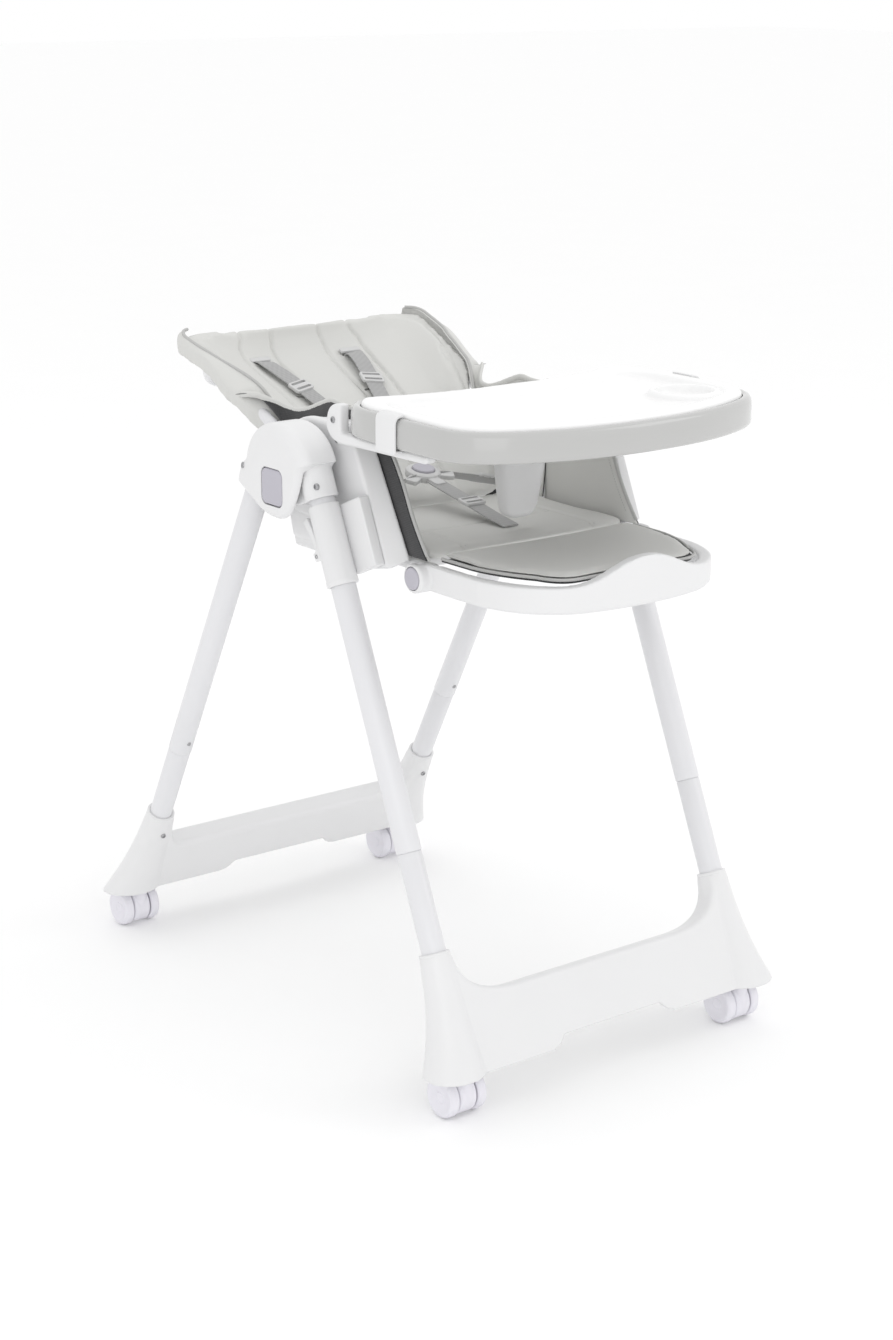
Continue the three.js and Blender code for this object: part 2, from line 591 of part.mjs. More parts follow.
// The front leg's collar, with the hinge disc that turns inside the casing
const discFrom = HUB_INNER_X + HUB_INNER_WALL + GAP;
const discTo = HUB_OUTER_X - HUB_WALL - BUTTON_TRAVEL - 2;
function hingeCollar() {
  const disc = slab(ellipse(HUB_DISC_RADIUS, HUB_DISC_RADIUS, 0, 0, HUB_SIDES), onX, discFrom, discTo);
  const sleeve = rod(COLLAR_RADIUS, COLLAR_BOTTOM, COLLAR_TOP).translate(LEG_X, -LEG_OFFSET, 0);
  const webShape = [v2(-LEG_OFFSET, COLLAR_BOTTOM), v2(-21.5, COLLAR_BOTTOM), v2(0, -HUB_DISC_RADIUS + 4),
    v2(0, COLLAR_TOP - 4), v2(-LEG_OFFSET, COLLAR_TOP)];
  const web = slab(webShape, onX, discFrom, discTo);
  const tilt = (geometry) => geometry.rotateX(rad(-FRONT_LEAN));
  const body = join(tilt(sleeve), tilt(web), disc);
  const tubeRoom = rod(TUBE_RADIUS + GAP, COLLAR_BOTTOM - 5, FRONT_TUBE_TOP + GAP);
  const bore = tilt(tubeRoom.translate(LEG_X, -LEG_OFFSET, 0));
  const pinBore = slab(ellipse(PIN_RADIUS + GAP, PIN_RADIUS + GAP, 0, 0, 16), onX, discFrom - 5, discTo + 5);
  const turning = HUB_RADIUS - HUB_RIM - RUNNING_GAP;
  const inRange = slab(ellipse(turning, turning, 0, 0, HUB_SIDES),
    onX, discFrom, HUB_OUTER_X - HUB_WALL - GAP);
  const belowLip = slab([v2(0, 0), v2(-100, 20), v2(-100, -100), v2(0, -100)],
    onX, discFrom, HUB_OUTER_X - HUB_WALL - GAP);
  return cut(overlap(body, join(inRange, belowLip)), bore, pinBore).translate(0, HUB_Y, HUB_Z);
}
addPair(chair, 'front_hinge_collar', hingeCollar(), WHITE);
addPair(chair, 'hinge_pin', slab(ellipse(PIN_RADIUS, PIN_RADIUS, 0, 0, 16), onX, discFrom, discTo)
  .translate(0, HUB_Y, HUB_Z), STEEL);

// ---- Height sleeves -----------------------------------------------------------------------

const SLEEVE_BORE = TUBE_RADIUS + RUNNING_GAP;
const SLEEVE_RADIUS = SLEEVE_BORE + SLEEVE_WALL;
const LEVER_PIVOT_Y = -LEG_OFFSET + SLEEVE_RADIUS + 6.5;
const LEVER_PIVOT_Z = SLEEVE_TOP - 58;
const plateFrom = PANEL_OUTER_X + RUNNING_GAP;
function heightSleeve() {
  const sleeve = rod(SLEEVE_RADIUS, SLEEVE_BOTTOM, SLEEVE_TOP).translate(LEG_X, -LEG_OFFSET, 0);
  const plate = slab([v2(SLEEVE_PLATE_FRONT, SLEEVE_BOTTOM + 10), v2(-LEG_OFFSET, SLEEVE_BOTTOM + 10),
    v2(-LEG_OFFSET, SLEEVE_TOP - 3), v2(SLEEVE_PLATE_FRONT, SLEEVE_TOP - 3)],
  onX, plateFrom, plateFrom + SLEEVE_PLATE_THICKNESS);
  const ear = slab([v2(-LEG_OFFSET, LEVER_PIVOT_Z - 8), v2(LEVER_PIVOT_Y + 4, LEVER_PIVOT_Z - 6),
    v2(LEVER_PIVOT_Y + 6, LEVER_PIVOT_Z + 4), v2(-LEG_OFFSET, LEVER_PIVOT_Z + 14)], onX, 0, 2.5);
  const half = LEVER_THICKNESS / 2 + GAP * 2;
  const ears = [ear.clone().translate(LEG_X + half, 0, 0), ear.clone().translate(LEG_X - half - 2.5, 0, 0)];
  const bore = rod(SLEEVE_BORE, SLEEVE_BOTTOM - 5, SLEEVE_TOP + 5).translate(LEG_X, -LEG_OFFSET, 0);
  return cut(join(sleeve, plate, ...ears), bore);
}
addPair(frontFrame, 'height_sleeve', heightSleeve(), WHITE);

function heightLever() {
  const shape = new THREE.Shape();
  const [y, z] = [LEVER_PIVOT_Y, LEVER_PIVOT_Z];
  shape.absarc(y, z, 5, rad(150), rad(390));
  shape.quadraticCurveTo(y + 5, z + 22, y + 12, z + 36);
  shape.lineTo(y + 16, z + 48);
  shape.lineTo(y + 6, z + 50);
  shape.quadraticCurveTo(y - 2, z + 30, y - 4.3, z + 2.5);
  return slab(outlineOf(shape, 5), onX, LEG_X - LEVER_THICKNESS / 2, LEG_X + LEVER_THICKNESS / 2);
}
addPair(frontFrame, 'height_lever', heightLever(), BUTTON_GREY);

// ---- Seat ---------------------------------------------------------------------------------

function sidePanel() {
  const shape = new THREE.Shape();
  shape.moveTo(-168, HUB_Z - 92);
  shape.lineTo(-97, HUB_Z + 52);
  shape.quadraticCurveTo(-108, HUB_Z + 71, -92, HUB_Z + 77);
  shape.quadraticCurveTo(-50, HUB_Z + 71, -10, HUB_Z + 71);
  shape.quadraticCurveTo(40, HUB_Z + 71, 56, HUB_Z + 30);
  shape.quadraticCurveTo(66, HUB_Z - 15, 37, HUB_Z - 101);
  shape.lineTo(-123, HUB_Z - 101);
  const outer = outlineOf(shape, 5);
  // The inner face reaches further forward than the outer one
  const inner = outer.map((p, i) => (i === 0 ? v2(-178, HUB_Z - 83) : i === 1 ? v2(-101, HUB_Z + 55) : p));
  const body = loft([onX(inner, PANEL_INNER_X), onX(outer, PANEL_OUTER_X - 3),
    onX(inset(outer, 3), PANEL_OUTER_X)]);
  const room = block(PANEL_INNER_X - 5, BACK_TUBE_X + BACK_TUBE_RADIUS + 2,
    -14, 200, HUB_Z - 135, HUB_Z + 165);
  const middle = v2(-60, HUB_Z - 20);
  const core = outer.map((p) => p.clone().lerp(middle, PANEL_HOLLOW_SHARE));
  const hollow = slab(core, onX, PANEL_INNER_X - 5, PANEL_OUTER_X - PANEL_WALL);
  return cut(body, room, hollow);
}
addPair(chair, 'side_panel', sidePanel(), WHITE);

function trayArm() {
  const shape = new THREE.Shape();
  const bottom = ARM_TOP_Z - ARM_BAR_DEPTH;
  shape.moveTo(ARM_FRONT_Y, ARM_TOP_Z);
  shape.quadraticCurveTo(ARM_FRONT_Y - 3, bottom + 2, ARM_FRONT_Y + 10, bottom + 1);
  shape.lineTo(ARM_BLOCK_FRONT_Y - 20, bottom - 1);
  shape.quadraticCurveTo(ARM_REAR_Y - 6, bottom - 6, ARM_REAR_Y, ARM_TOP_Z + 6);
  shape.lineTo(ARM_REAR_Y - 2, ARM_BLOCK_TOP_Z - 16);
  shape.quadraticCurveTo(ARM_REAR_Y - 6, ARM_BLOCK_TOP_Z - 1, ARM_REAR_Y - 23, ARM_BLOCK_TOP_Z);
  shape.lineTo(ARM_BLOCK_FRONT_Y, ARM_BLOCK_TOP_Z);
  shape.lineTo(ARM_BLOCK_FRONT_Y, ARM_TOP_Z);
  const arm = slab(outlineOf(shape, 4), onX, ARM_INNER_X, ARM_OUTER_X, 0, 3, 1);
  const boss = slab(ellipse(11, 11, ARM_BLOCK_FRONT_Y + 16, HUB_Z + 63, 16),
    onX, PANEL_OUTER_X + GAP, ARM_INNER_X + 4);
  return join(arm, boss);
}
addPair(chair, 'tray_arm', trayArm(), WHITE);

function seatShell() {
  const top = SEAT_TOP_Z - SEAT_PAD_THICKNESS - GAP * 2;
  const bottom = top - SHELL_THICKNESS;
  const half = PANEL_INNER_X - GAP * 2;
  const pan = slab(roundedRectangle(half * 2, SHELL_REAR_Y - SHELL_FRONT_Y, 10, 0,
    (SHELL_REAR_Y + SHELL_FRONT_Y) / 2), onZ, bottom, top, 3, 0);
  const earShape = new THREE.Shape();
  earShape.absarc(FOOTREST_Y, FOOTREST_Z, 14, rad(95), rad(300));
  earShape.lineTo(SHELL_FRONT_Y + 40, bottom + 2);
  earShape.lineTo(SHELL_FRONT_Y + 12, top - 2);
  const earOuter = FOOTREST_BOSS_INNER_X - 1;
  const ear = slab(outlineOf(earShape, 8), onX, earOuter - 13, earOuter);
  return join(pan, ear, mirrorX(ear));
}
addPart(chair, 'seat_shell', seatShell(), WHITE);

const seatPadMiddle = (SEAT_FRONT_Y + SEAT_REAR_Y) / 2;
addPart(chair, 'seat_pad', slab(
  roundedRectangle(SEAT_PAD_HALF * 2, SEAT_REAR_Y - SEAT_FRONT_Y, 16, 0, seatPadMiddle),
  onZ, SEAT_TOP_Z - SEAT_PAD_THICKNESS, SEAT_TOP_Z, 0, 5,
), LEATHER);

// Upright fabric side of the seat
function sideWing() {
  const shape = new THREE.Shape();
  shape.moveTo(-208, HUB_Z - 79);
  shape.quadraticCurveTo(-180, HUB_Z - 45, -164, HUB_Z - 11);
  shape.quadraticCurveTo(-146, HUB_Z + 27, -120, HUB_Z + 55);
  shape.quadraticCurveTo(-90, HUB_Z + 77, -50, HUB_Z + 83);
  shape.lineTo(-22, HUB_Z + 85);
  shape.lineTo(-22, HUB_Z - 79);
  return slab(outlineOf(shape, 4), onX, WING_INNER_X, WING_INNER_X + WING_THICKNESS);
}
addPair(chair, 'side_wing', sideWing(), CHARCOAL);

// ---- Footrest -----------------------------------------------------------------------------

function footrestPlan(wall) {
  const shape = new THREE.Shape();
  const half = FOOTREST_HALF_WIDTH - wall;
  const front = FOOTREST_FRONT_Y + wall;
  shape.moveTo(0, front);
  shape.quadraticCurveTo(50, front, 92, front + 11);
  shape.quadraticCurveTo(half - 14, front + 34, half - 2, front + 112);
  shape.lineTo(half, front + 160);
  shape.lineTo(half, FOOTREST_Y + wall);
  shape.lineTo(0, FOOTREST_Y + wall);
  return mirrored(outlineOf(shape, 5));
}

function footrestLoop() {
  const outer = slab(footrestPlan(0), onZ, FOOTREST_BOTTOM_Z, FOOTREST_HUMP_Z + 4, 3, 0);
  const inner = slab(footrestPlan(FOOTREST_WALL), onZ, FOOTREST_BOTTOM_Z - 5, FOOTREST_HUMP_Z + 10);
  const [below, above] = [FOOTREST_Z - 36, FOOTREST_Z + 64];
  const ends = block(-FOOTREST_HALF_WIDTH, FOOTREST_HALF_WIDTH, FOOTREST_Y, FOOTREST_Y + 60, below, above);
  const skyline = new THREE.Shape();
  skyline.moveTo(0, FOOTREST_HUMP_Z);
  skyline.bezierCurveTo(45, FOOTREST_HUMP_Z, 60, FOOTREST_TOP_Z, 112, FOOTREST_TOP_Z);
  skyline.lineTo(FOOTREST_HALF_WIDTH + 20, FOOTREST_TOP_Z);
  skyline.lineTo(FOOTREST_HALF_WIDTH + 20, FOOTREST_HUMP_Z + 60);
  skyline.lineTo(0, FOOTREST_HUMP_Z + 60);
  const sky = slab(mirrored(outlineOf(skyline, 6)), onY, FOOTREST_FRONT_Y - 20, FOOTREST_Y + 40);
  const boss = slab(ellipse(FOOTREST_BOSS_RADIUS, FOOTREST_BOSS_RADIUS, FOOTREST_Y, FOOTREST_Z),
    onX, FOOTREST_BOSS_INNER_X, FOOTREST_KNOB_X + 8, 0, 2);
  const seat = slab(ellipse(FOOTREST_KNOB_RADIUS + GAP, FOOTREST_KNOB_RADIUS + GAP, FOOTREST_Y, FOOTREST_Z),
    onX, FOOTREST_KNOB_X - 4, FOOTREST_KNOB_X + 15);
  const pocket = cut(boss, seat);
  const loop = cut(outer, inner, ends, sky, seat, mirrorX(seat));
  const inside = FOOTREST_BOSS_INNER_X - 0.4;
  return cut(join(loop, pocket, mirrorX(pocket)),
    block(-inside, inside, FOOTREST_Y - 22, FOOTREST_Y + 30, below, above));
}
addPart(chair, 'footrest_loop', footrestLoop(), WHITE);
const knobOutline = ellipse(FOOTREST_KNOB_RADIUS, FOOTREST_KNOB_RADIUS, FOOTREST_Y, FOOTREST_Z);
addPair(chair, 'footrest_button', slab(knobOutline, onX, FOOTREST_KNOB_X, FOOTREST_KNOB_X + 10, 0, 2),
  BUTTON_GREY);

function legrestPad() {
  const shape = new THREE.Shape();
  const front = FOOTREST_FRONT_Y + FOOTREST_WALL + 13;
  const half = LEGREST_HALF_WIDTH;
  shape.moveTo(0, front);
  shape.lineTo(half - 73, front);
  shape.quadraticCurveTo(half - 43, front, half - 33, front + 36);
  shape.quadraticCurveTo(half - 7, front + 76, half - 2, front + 120);
  shape.lineTo(half, SEAT_FRONT_Y - 5);
  shape.lineTo(0, SEAT_FRONT_Y - 5);
  return slab(mirrored(outlineOf(shape, 5)), onZ,
    SEAT_TOP_Z - 2 - LEGREST_THICKNESS, SEAT_TOP_Z - 2, 0, 3, 1);
}
addPart(chair, 'legrest_pad', legrestPad(), LEATHER);

// ---- Backrest -----------------------------------------------------------------------------

// A point from the reclined backrest's own axes: x across, u up the back, n out of its face
const backUp = v3(0, Math.cos(rad(BACK_ANGLE)), Math.sin(rad(BACK_ANGLE)));
const backOut = v3(0, -Math.sin(rad(BACK_ANGLE)), Math.cos(rad(BACK_ANGLE)));
function backPoint(x, u, n) {
  return v3(x, BACK_TOP_Y, BACK_TOP_Z).addScaledVector(backUp, u).addScaledVector(backOut, n);
}

function backrestTube(radius) {
  const lowest = v3(BACK_TUBE_X, RECLINE_Y, RECLINE_Z);
  const half = [lowest, backPoint(BACK_TUBE_X, -120, -6), backPoint(BACK_TUBE_X, -50, -7),
    backPoint(BACK_TUBE_X - 10, -24, -24), backPoint(BACK_TUBE_X - 34, -6, -64),
    backPoint(BACK_TUBE_X - 84, 8, -84)];
  const route = [...half, backPoint(0, 12, -88), ...half.map((p) => v3(-p.x, p.y, p.z)).reverse()];
  const path = new THREE.CatmullRomCurve3(route, false, 'centripetal');
  const section = new THREE.Shape();
  ellipse(radius, radius, 0, 0, 8).forEach((p, i) => (
    i ? section.lineTo(p.x, p.y) : section.moveTo(p.x, p.y)));
  return new THREE.ExtrudeGeometry(section, { steps: 26, bevelEnabled: false, extrudePath: path });
}

function backrestFrame() {
  const lug = slab(ellipse(13, 13, RECLINE_Y, RECLINE_Z, 16), onX,
    BACK_TUBE_X - BACK_TUBE_RADIUS, BACK_TUBE_X + BACK_TUBE_RADIUS);
  return join(backrestTube(BACK_TUBE_RADIUS), lug, mirrorX(lug));
}
addPart(chair, 'backrest_frame', backrestFrame(), WHITE);

// Padded hammock between the side tubes, hooked over them from the hem upwards
function backrestPad() {
  const narrow = [[0, 0], [70, 0.06], [112, 0.3], [140, 0.7], [150, 0.95], [156, 1], [156, 0.9],
    [150, 0.75], [140, 0.5], [112, 0.1], [70, -0.14], [0, -0.2]];
  const wide = [[0, 0], [80, 0.1], [128, 0.5], [158, 0.96], [172, 1.22], [188, 1.22], [200, 1.05],
    [206, 0.8], [199, 0.78], [187, 1.06], [165, 1.06], [148, 0.55]];
  const wideBack = [[120, 0.12], [76, -0.2], [0, -0.28]];
  const narrowFull = [...narrow.slice(0, 6), [156, 0.97], [156, 0.94], ...narrow.slice(6, 8), [145, 0.6],
    ...narrow.slice(8)];
  const wideFull = [...wide, ...wideBack];
  const widen = BACK_TUBE_X / PAD_DRAWN_AT;
  const station = (half, u, depth, edge, scale) => mirrored(half.map(([x, n]) => v2(x * scale * widen, n)))
    .map((p) => backPoint(p.x, u, edge - depth + depth * p.y));
  return cut(loft([
    station(narrowFull, -298, 36, -46, 1),
    station(narrowFull, -170, 50, -12, 1),
    station(wideFull, -138, 52, 0, 1),
    station(wideFull, -10, 52, 0, 1),
    station(wideFull, 20, 44, 2, 0.97),
    station(wideFull, 40, 26, 4, 0.92),
  ]), backrestTube(BACK_TUBE_RADIUS + RUNNING_GAP * 2));
}
addPart(chair, 'backrest_pad', backrestPad(), LEATHER);

// ---- Tray ---------------------------------------------------------------------------------

function trayPlan() {
  const shape = new THREE.Shape();
  const half = TRAY_HALF_WIDTH;
  shape.moveTo(0, TRAY_REAR_Y);
  shape.quadraticCurveTo(110, TRAY_REAR_Y, half - 73, TRAY_REAR_Y + 22);
  shape.quadraticCurveTo(half - 38, TRAY_REAR_Y + 38, half - 26, TRAY_REAR_Y + 21);
  shape.quadraticCurveTo(half - 4, TRAY_REAR_Y + 4, half - 1, TRAY_REAR_Y - 40);
  shape.lineTo(half, TRAY_FRONT_Y + 120);
  shape.bezierCurveTo(half, TRAY_FRONT_Y + 62, half - 42, TRAY_FRONT_Y + 40, half - 98, TRAY_FRONT_Y + 20);
  shape.quadraticCurveTo(80, TRAY_FRONT_Y, 0, TRAY_FRONT_Y);
  return mirrored(outlineOf(shape, 4));
}

// The insert's shallow dish, inside the tray plan by the rim and a margin
function dishPlan() {
  const shape = new THREE.Shape();
  const margin = RIM_WIDTH + DISH_INSET;
  const half = TRAY_HALF_WIDTH - margin;
  const [rear, front] = [TRAY_REAR_Y - margin, TRAY_FRONT_Y + margin];
  shape.moveTo(0, rear);
  shape.quadraticCurveTo(100, rear, half - 66, rear + 14);
  shape.quadraticCurveTo(half - 4, rear + 30, half, rear - 30);
  shape.lineTo(half, front + 90);
  shape.bezierCurveTo(half, front + 52, half - 34, front + 36, half - 80, front + 18);
  shape.quadraticCurveTo(70, front, 0, front);
  return mirrored(outlineOf(shape, 4));
}

const plan = trayPlan();
const insertPlan = inset(plan, RIM_WIDTH);
function trayBase() {
  const height = TRAY_RIM_Z - TRAY_BOTTOM_Z;
  const rings = [[3, 0], [0, 5], [0, height - 10], [3, height - 3], [RIM_WIDTH / 2, height]];
  const body = loft(rings.map(([depth, z]) => onZ(inset(plan, depth), TRAY_BOTTOM_Z + z)));
  const recess = slab(inset(plan, RIM_WIDTH - GAP), onZ, INSERT_BOTTOM_Z - GAP, TRAY_RIM_Z + 5);
  const under = slab(inset(plan, RIM_WIDTH / 2 + TRAY_WALL), onZ, TRAY_BOTTOM_Z - 5,
    INSERT_BOTTOM_Z - GAP - TRAY_FLOOR);
  return cut(body, recess, under);
}
addPart(chair, 'tray_base', trayBase(), TRAY_GREY);

function trayInsert() {
  const body = slab(insertPlan, onZ, INSERT_BOTTOM_Z, INSERT_TOP_Z, 0, 3);
  const dish = slab(dishPlan(), onZ, INSERT_TOP_Z - DISH_DEPTH, INSERT_TOP_Z + 5, 5, 0);
  const cup = slab(ellipse(CUP_RADIUS, CUP_RADIUS, CUP_X, CUP_Y, HUB_SIDES), onZ,
    INSERT_TOP_Z - CUP_DEPTH, INSERT_TOP_Z + 5, 4, 0);
  const cupWall = slab(ellipse(CUP_RADIUS + 7, CUP_RADIUS + 7, CUP_X, CUP_Y, HUB_SIDES), onZ,
    INSERT_BOTTOM_Z + 1, INSERT_TOP_Z - 3);
  const inDish = slab(inset(plan, RIM_WIDTH + 1), onZ, INSERT_BOTTOM_Z, INSERT_TOP_Z + 1);
  return cut(join(cut(body, dish), overlap(cupWall, inDish)), cup);
}
addPart(chair, 'tray_insert', trayInsert(), WHITE);

// Clips that reach from the arms up over the rim
function trayLatch() {
  const out = TRAY_HALF_WIDTH + GAP * 2;
  const thick = 3;
  const inner = TRAY_HALF_WIDTH - RIM_WIDTH + 1.5;
  const shape = new THREE.Shape();
  shape.moveTo(ARM_OUTER_X + 1, TRAY_BOTTOM_Z - 4.5);
  shape.lineTo(out + thick, TRAY_BOTTOM_Z - 4.5);
  shape.lineTo(out + thick, TRAY_RIM_Z - 6);
  shape.quadraticCurveTo(out + thick, TRAY_RIM_Z + 4, out - 6, TRAY_RIM_Z + 4.5);
  shape.lineTo(inner, TRAY_RIM_Z + 5);
  shape.lineTo(inner, TRAY_RIM_Z + 1.2);
  shape.lineTo(out - 6, TRAY_RIM_Z + 1);
  shape.quadraticCurveTo(out, TRAY_RIM_Z, out, TRAY_RIM_Z - 8);
  shape.lineTo(out, TRAY_BOTTOM_Z - 1.2);
  shape.lineTo(ARM_OUTER_X + 1, TRAY_BOTTOM_Z - 1.2);
  return slab(outlineOf(shape, 3), onY, LATCH_Y - LATCH_LENGTH / 2, LATCH_Y + LATCH_LENGTH / 2);
}
addPair(chair, 'tray_latch', trayLatch(), WHITE);

function crotchPost() {
  const top = INSERT_BOTTOM_Z - GAP * 2 - TRAY_FLOOR;
  const height = top - POST_BOTTOM_Z;
  const rings = [[0.2, 0], [0.5, 0.02], [0.68, 0.08], [0.8, 0.24], [1, 0.62], [1.06, 1]];
  return loft(rings.map(([scale, share]) => onZ(
    ellipse(POST_HALF_WIDTH * scale, POST_HALF_DEPTH * scale, 0, POST_Y - 8 * share),
    POST_BOTTOM_Z + height * share)));
}
addPart(chair, 'crotch_post', crotchPost(), WHITE);

// ---- Harness ------------------------------------------------------------------------------

// A flat strap through points, its width across a given direction
function strap(points, across) {
  const half = across.clone().normalize().multiplyScalar(WEBBING_WIDTH / 2);
  return loft(points.map((point, i) => {
    const before = points[Math.max(0, i - 1)];
    const after = points[Math.min(points.length - 1, i + 1)];
    const up = half.clone().cross(after.clone().sub(before)).setLength(WEBBING_THICKNESS / 2);
    return [point.clone().add(half).add(up), point.clone().sub(half).add(up),
      point.clone().sub(half).sub(up), point.clone().add(half).sub(up)];
  }));
}

const shoulderRoute = [backPoint(75, -14, -40), backPoint(66, -60, -38), backPoint(57, -96, -38),
  backPoint(42, -160, -40), backPoint(24, -224, -38)];
addPair(chair, 'shoulder_strap', strap(shoulderRoute, v3(1, 0.2, 0.1)), WEBBING);
addPart(chair, 'crotch_strap', strap(
  [v3(0, -150, SEAT_TOP_Z + 3), v3(0, -120, SEAT_TOP_Z + 8), v3(0, -70, SEAT_TOP_Z + 18),
    v3(0, BUCKLE_Y - BUCKLE_RADIUS - 3, BUCKLE_Z - 7)],
  v3(1, 0, 0),
), WEBBING);
addPair(chair, 'waist_strap', strap(
  [v3(BUCKLE_RADIUS + 4, BUCKLE_Y - 2, BUCKLE_Z - 4), v3(72, 24, BUCKLE_Z - 13),
    v3(SEAT_PAD_HALF - 45, 16, SEAT_TOP_Z + 14), v3(SEAT_PAD_HALF - 17, 8, SEAT_TOP_Z + 8)],
  v3(0, 0.9, -0.4),
), WEBBING);

const buckleTilt = (geometry) => geometry.rotateX(rad(12)).translate(0, BUCKLE_Y, BUCKLE_Z);
const buckleBody = slab(ellipse(BUCKLE_RADIUS, BUCKLE_RADIUS, 0, 0), onZ, -6, 6, 3, 3);
const buckleSeat = slab(ellipse(15 + GAP, 15 + GAP, 0, 0), onZ, 0, 12);
addPart(chair, 'buckle', buckleTilt(cut(buckleBody, buckleSeat)), BUTTON_GREY);
addPart(chair, 'buckle_button', buckleTilt(slab(ellipse(15, 15, 0, 0), onZ, 4, 9, 0, 2)), BUTTON_GREY);

// ---- Origin: middle of the chair's footprint, on the floor --------------------------------

chair.updateMatrixWorld(true);
const bounds = new THREE.Box3().setFromObject(chair, true);
chair.position.y = -(bounds.min.y + bounds.max.y) / 2;

export default chair;
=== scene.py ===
"""Looks of a folding baby high chair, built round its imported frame.

Pieces are drawn in millimetres in the chair's own plan, where the hinge hubs stand at HUB_PLAN_Y,
and become metres in the frame's place when they turn into meshes.
"""

import json
import logging
import math
from dataclasses import dataclass
from enum import Enum
from typing import Any, Callable, Sequence

import bmesh
import bpy
from mathutils import Matrix, Vector


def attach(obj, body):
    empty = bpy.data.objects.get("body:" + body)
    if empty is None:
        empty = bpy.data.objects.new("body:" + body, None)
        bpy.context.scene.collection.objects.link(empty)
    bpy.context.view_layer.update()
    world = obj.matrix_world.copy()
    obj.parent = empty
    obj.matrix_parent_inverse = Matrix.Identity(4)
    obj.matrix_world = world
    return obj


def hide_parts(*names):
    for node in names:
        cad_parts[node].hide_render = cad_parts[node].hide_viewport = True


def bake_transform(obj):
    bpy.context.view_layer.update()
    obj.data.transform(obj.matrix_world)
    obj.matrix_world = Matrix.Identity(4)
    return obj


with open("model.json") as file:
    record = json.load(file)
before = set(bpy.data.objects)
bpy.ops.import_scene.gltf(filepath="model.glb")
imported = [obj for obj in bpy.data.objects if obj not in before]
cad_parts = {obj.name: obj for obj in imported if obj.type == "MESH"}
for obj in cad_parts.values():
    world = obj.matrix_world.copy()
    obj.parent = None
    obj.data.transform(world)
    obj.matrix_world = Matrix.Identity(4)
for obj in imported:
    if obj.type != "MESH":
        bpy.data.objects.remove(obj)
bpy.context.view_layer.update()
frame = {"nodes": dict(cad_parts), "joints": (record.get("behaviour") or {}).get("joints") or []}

log = logging.getLogger("high_chair")

MM = 0.001
JOINTS = {joint["name"]: joint for joint in frame["joints"]}
HUB_PLAN_Y = -5.0
HUB_Z = JOINTS["rear_leg_fold"]["pos_m"][2] / MM
PLAN_SHIFT = JOINTS["rear_leg_fold"]["pos_m"][1] - HUB_PLAN_Y * MM
SIDES = {"left": 1, "right": -1}

Flat = list[Vector]
Ring = list[Vector]
Placing = Callable[[Flat, float], Ring]


def to_metres(point: Vector) -> Vector:
    """A plan point in millimetres as a frame point in metres."""
    return Vector((point.x * MM, point.y * MM + PLAN_SHIFT, point.z * MM))


def to_plan(point: Sequence[float]) -> Vector:
    """A frame point in metres as a plan point in millimetres."""
    return Vector((point[0] / MM, (point[1] - PLAN_SHIFT) / MM, point[2] / MM))


def smooth_step(low: float, high: float, value: float) -> float:
    """0 below low, 1 above high, and an even curve between them."""
    t = min(1.0, max(0.0, (value - low) / (high - low)))
    return t * t * (3 - 2 * t)


class Outline:
    """A flat outline of lines, curves and arcs, in millimetres."""

    def __init__(self, x: float, y: float) -> None:
        """Starts at a point."""
        self.points: Flat = [Vector((x, y))]

    def line(self, x: float, y: float) -> "Outline":
        """A straight stretch to a point."""
        self.points.append(Vector((x, y)))
        return self

    def quad(self, cx: float, cy: float, x: float, y: float, steps: int = 10) -> "Outline":
        """A curve with one control point."""
        a, b, c = self.points[-1], Vector((cx, cy)), Vector((x, y))
        for i in range(1, steps + 1):
            t = i / steps
            self.points.append(a * (1 - t) ** 2 + b * 2 * t * (1 - t) + c * t * t)
        return self

    def cubic(self, c1: Sequence[float], c2: Sequence[float], end: Sequence[float],
              steps: int = 14) -> "Outline":
        """A curve with two control points."""
        a, b, c, d = self.points[-1], Vector(c1), Vector(c2), Vector(end)
        for i in range(1, steps + 1):
            t = i / steps
            s = 1 - t
            self.points.append(a * s**3 + b * 3 * s * s * t + c * 3 * s * t * t + d * t**3)
        return self

    def arc(self, cx: float, cy: float, r: float, start: float, end: float, steps: int = 14) -> "Outline":
        """A round stretch about a centre, between two angles in degrees."""
        for i in range(steps + 1):
            angle = math.radians(start + (end - start) * i / steps)
            self.points.append(Vector((cx + r * math.cos(angle), cy + r * math.sin(angle))))
        return self

    def closed(self) -> Flat:
        """The points, without repeats."""
        points = self.points
        return [p for i, p in enumerate(points) if (p - points[(i + 1) % len(points)]).length > 1e-3]

    def mirrored(self) -> Flat:
        """The outline and its mirror image across the first axis, as one loop."""
        half = self.closed()
        other = [Vector((-p.x, p.y)) for p in half if abs(p.x) > 1e-6]
        return half + other[::-1]


def even(points: Flat, step: float) -> Flat:
    """A loop with more points on its long straight stretches.

    Args:
        points: The loop's corners.
        step: The longest stretch to leave, in millimetres.

    Returns:
        The loop with its long stretches divided.
    """
    made: Flat = []
    for a, b in zip(points, points[1:] + points[:1]):
        count = max(1, math.ceil((b - a).length / step))
        made += [a.lerp(b, i / count) for i in range(count)]
    return made


def loop_area(points: Flat) -> float:
    """The signed area of a loop."""
    return sum(a.x * b.y - b.x * a.y for a, b in zip(points, points[1:] + points[:1])) / 2


def inset(points: Flat, distance: float) -> Flat:
    """A loop moved inwards by a distance."""
    turn = 1 if loop_area(points) > 0 else -1
    made: Flat = []
    for i, point in enumerate(points):
        a = (point - points[i - 1]).normalized()
        b = (points[(i + 1) % len(points)] - point).normalized()
        normal = Vector((-(a.y + b.y), a.x + b.x)).normalized() * turn
        spread = max(0.5, normal.dot(Vector((-b.y, b.x)) * turn))
        made.append(point + normal * (distance / spread))
    return made


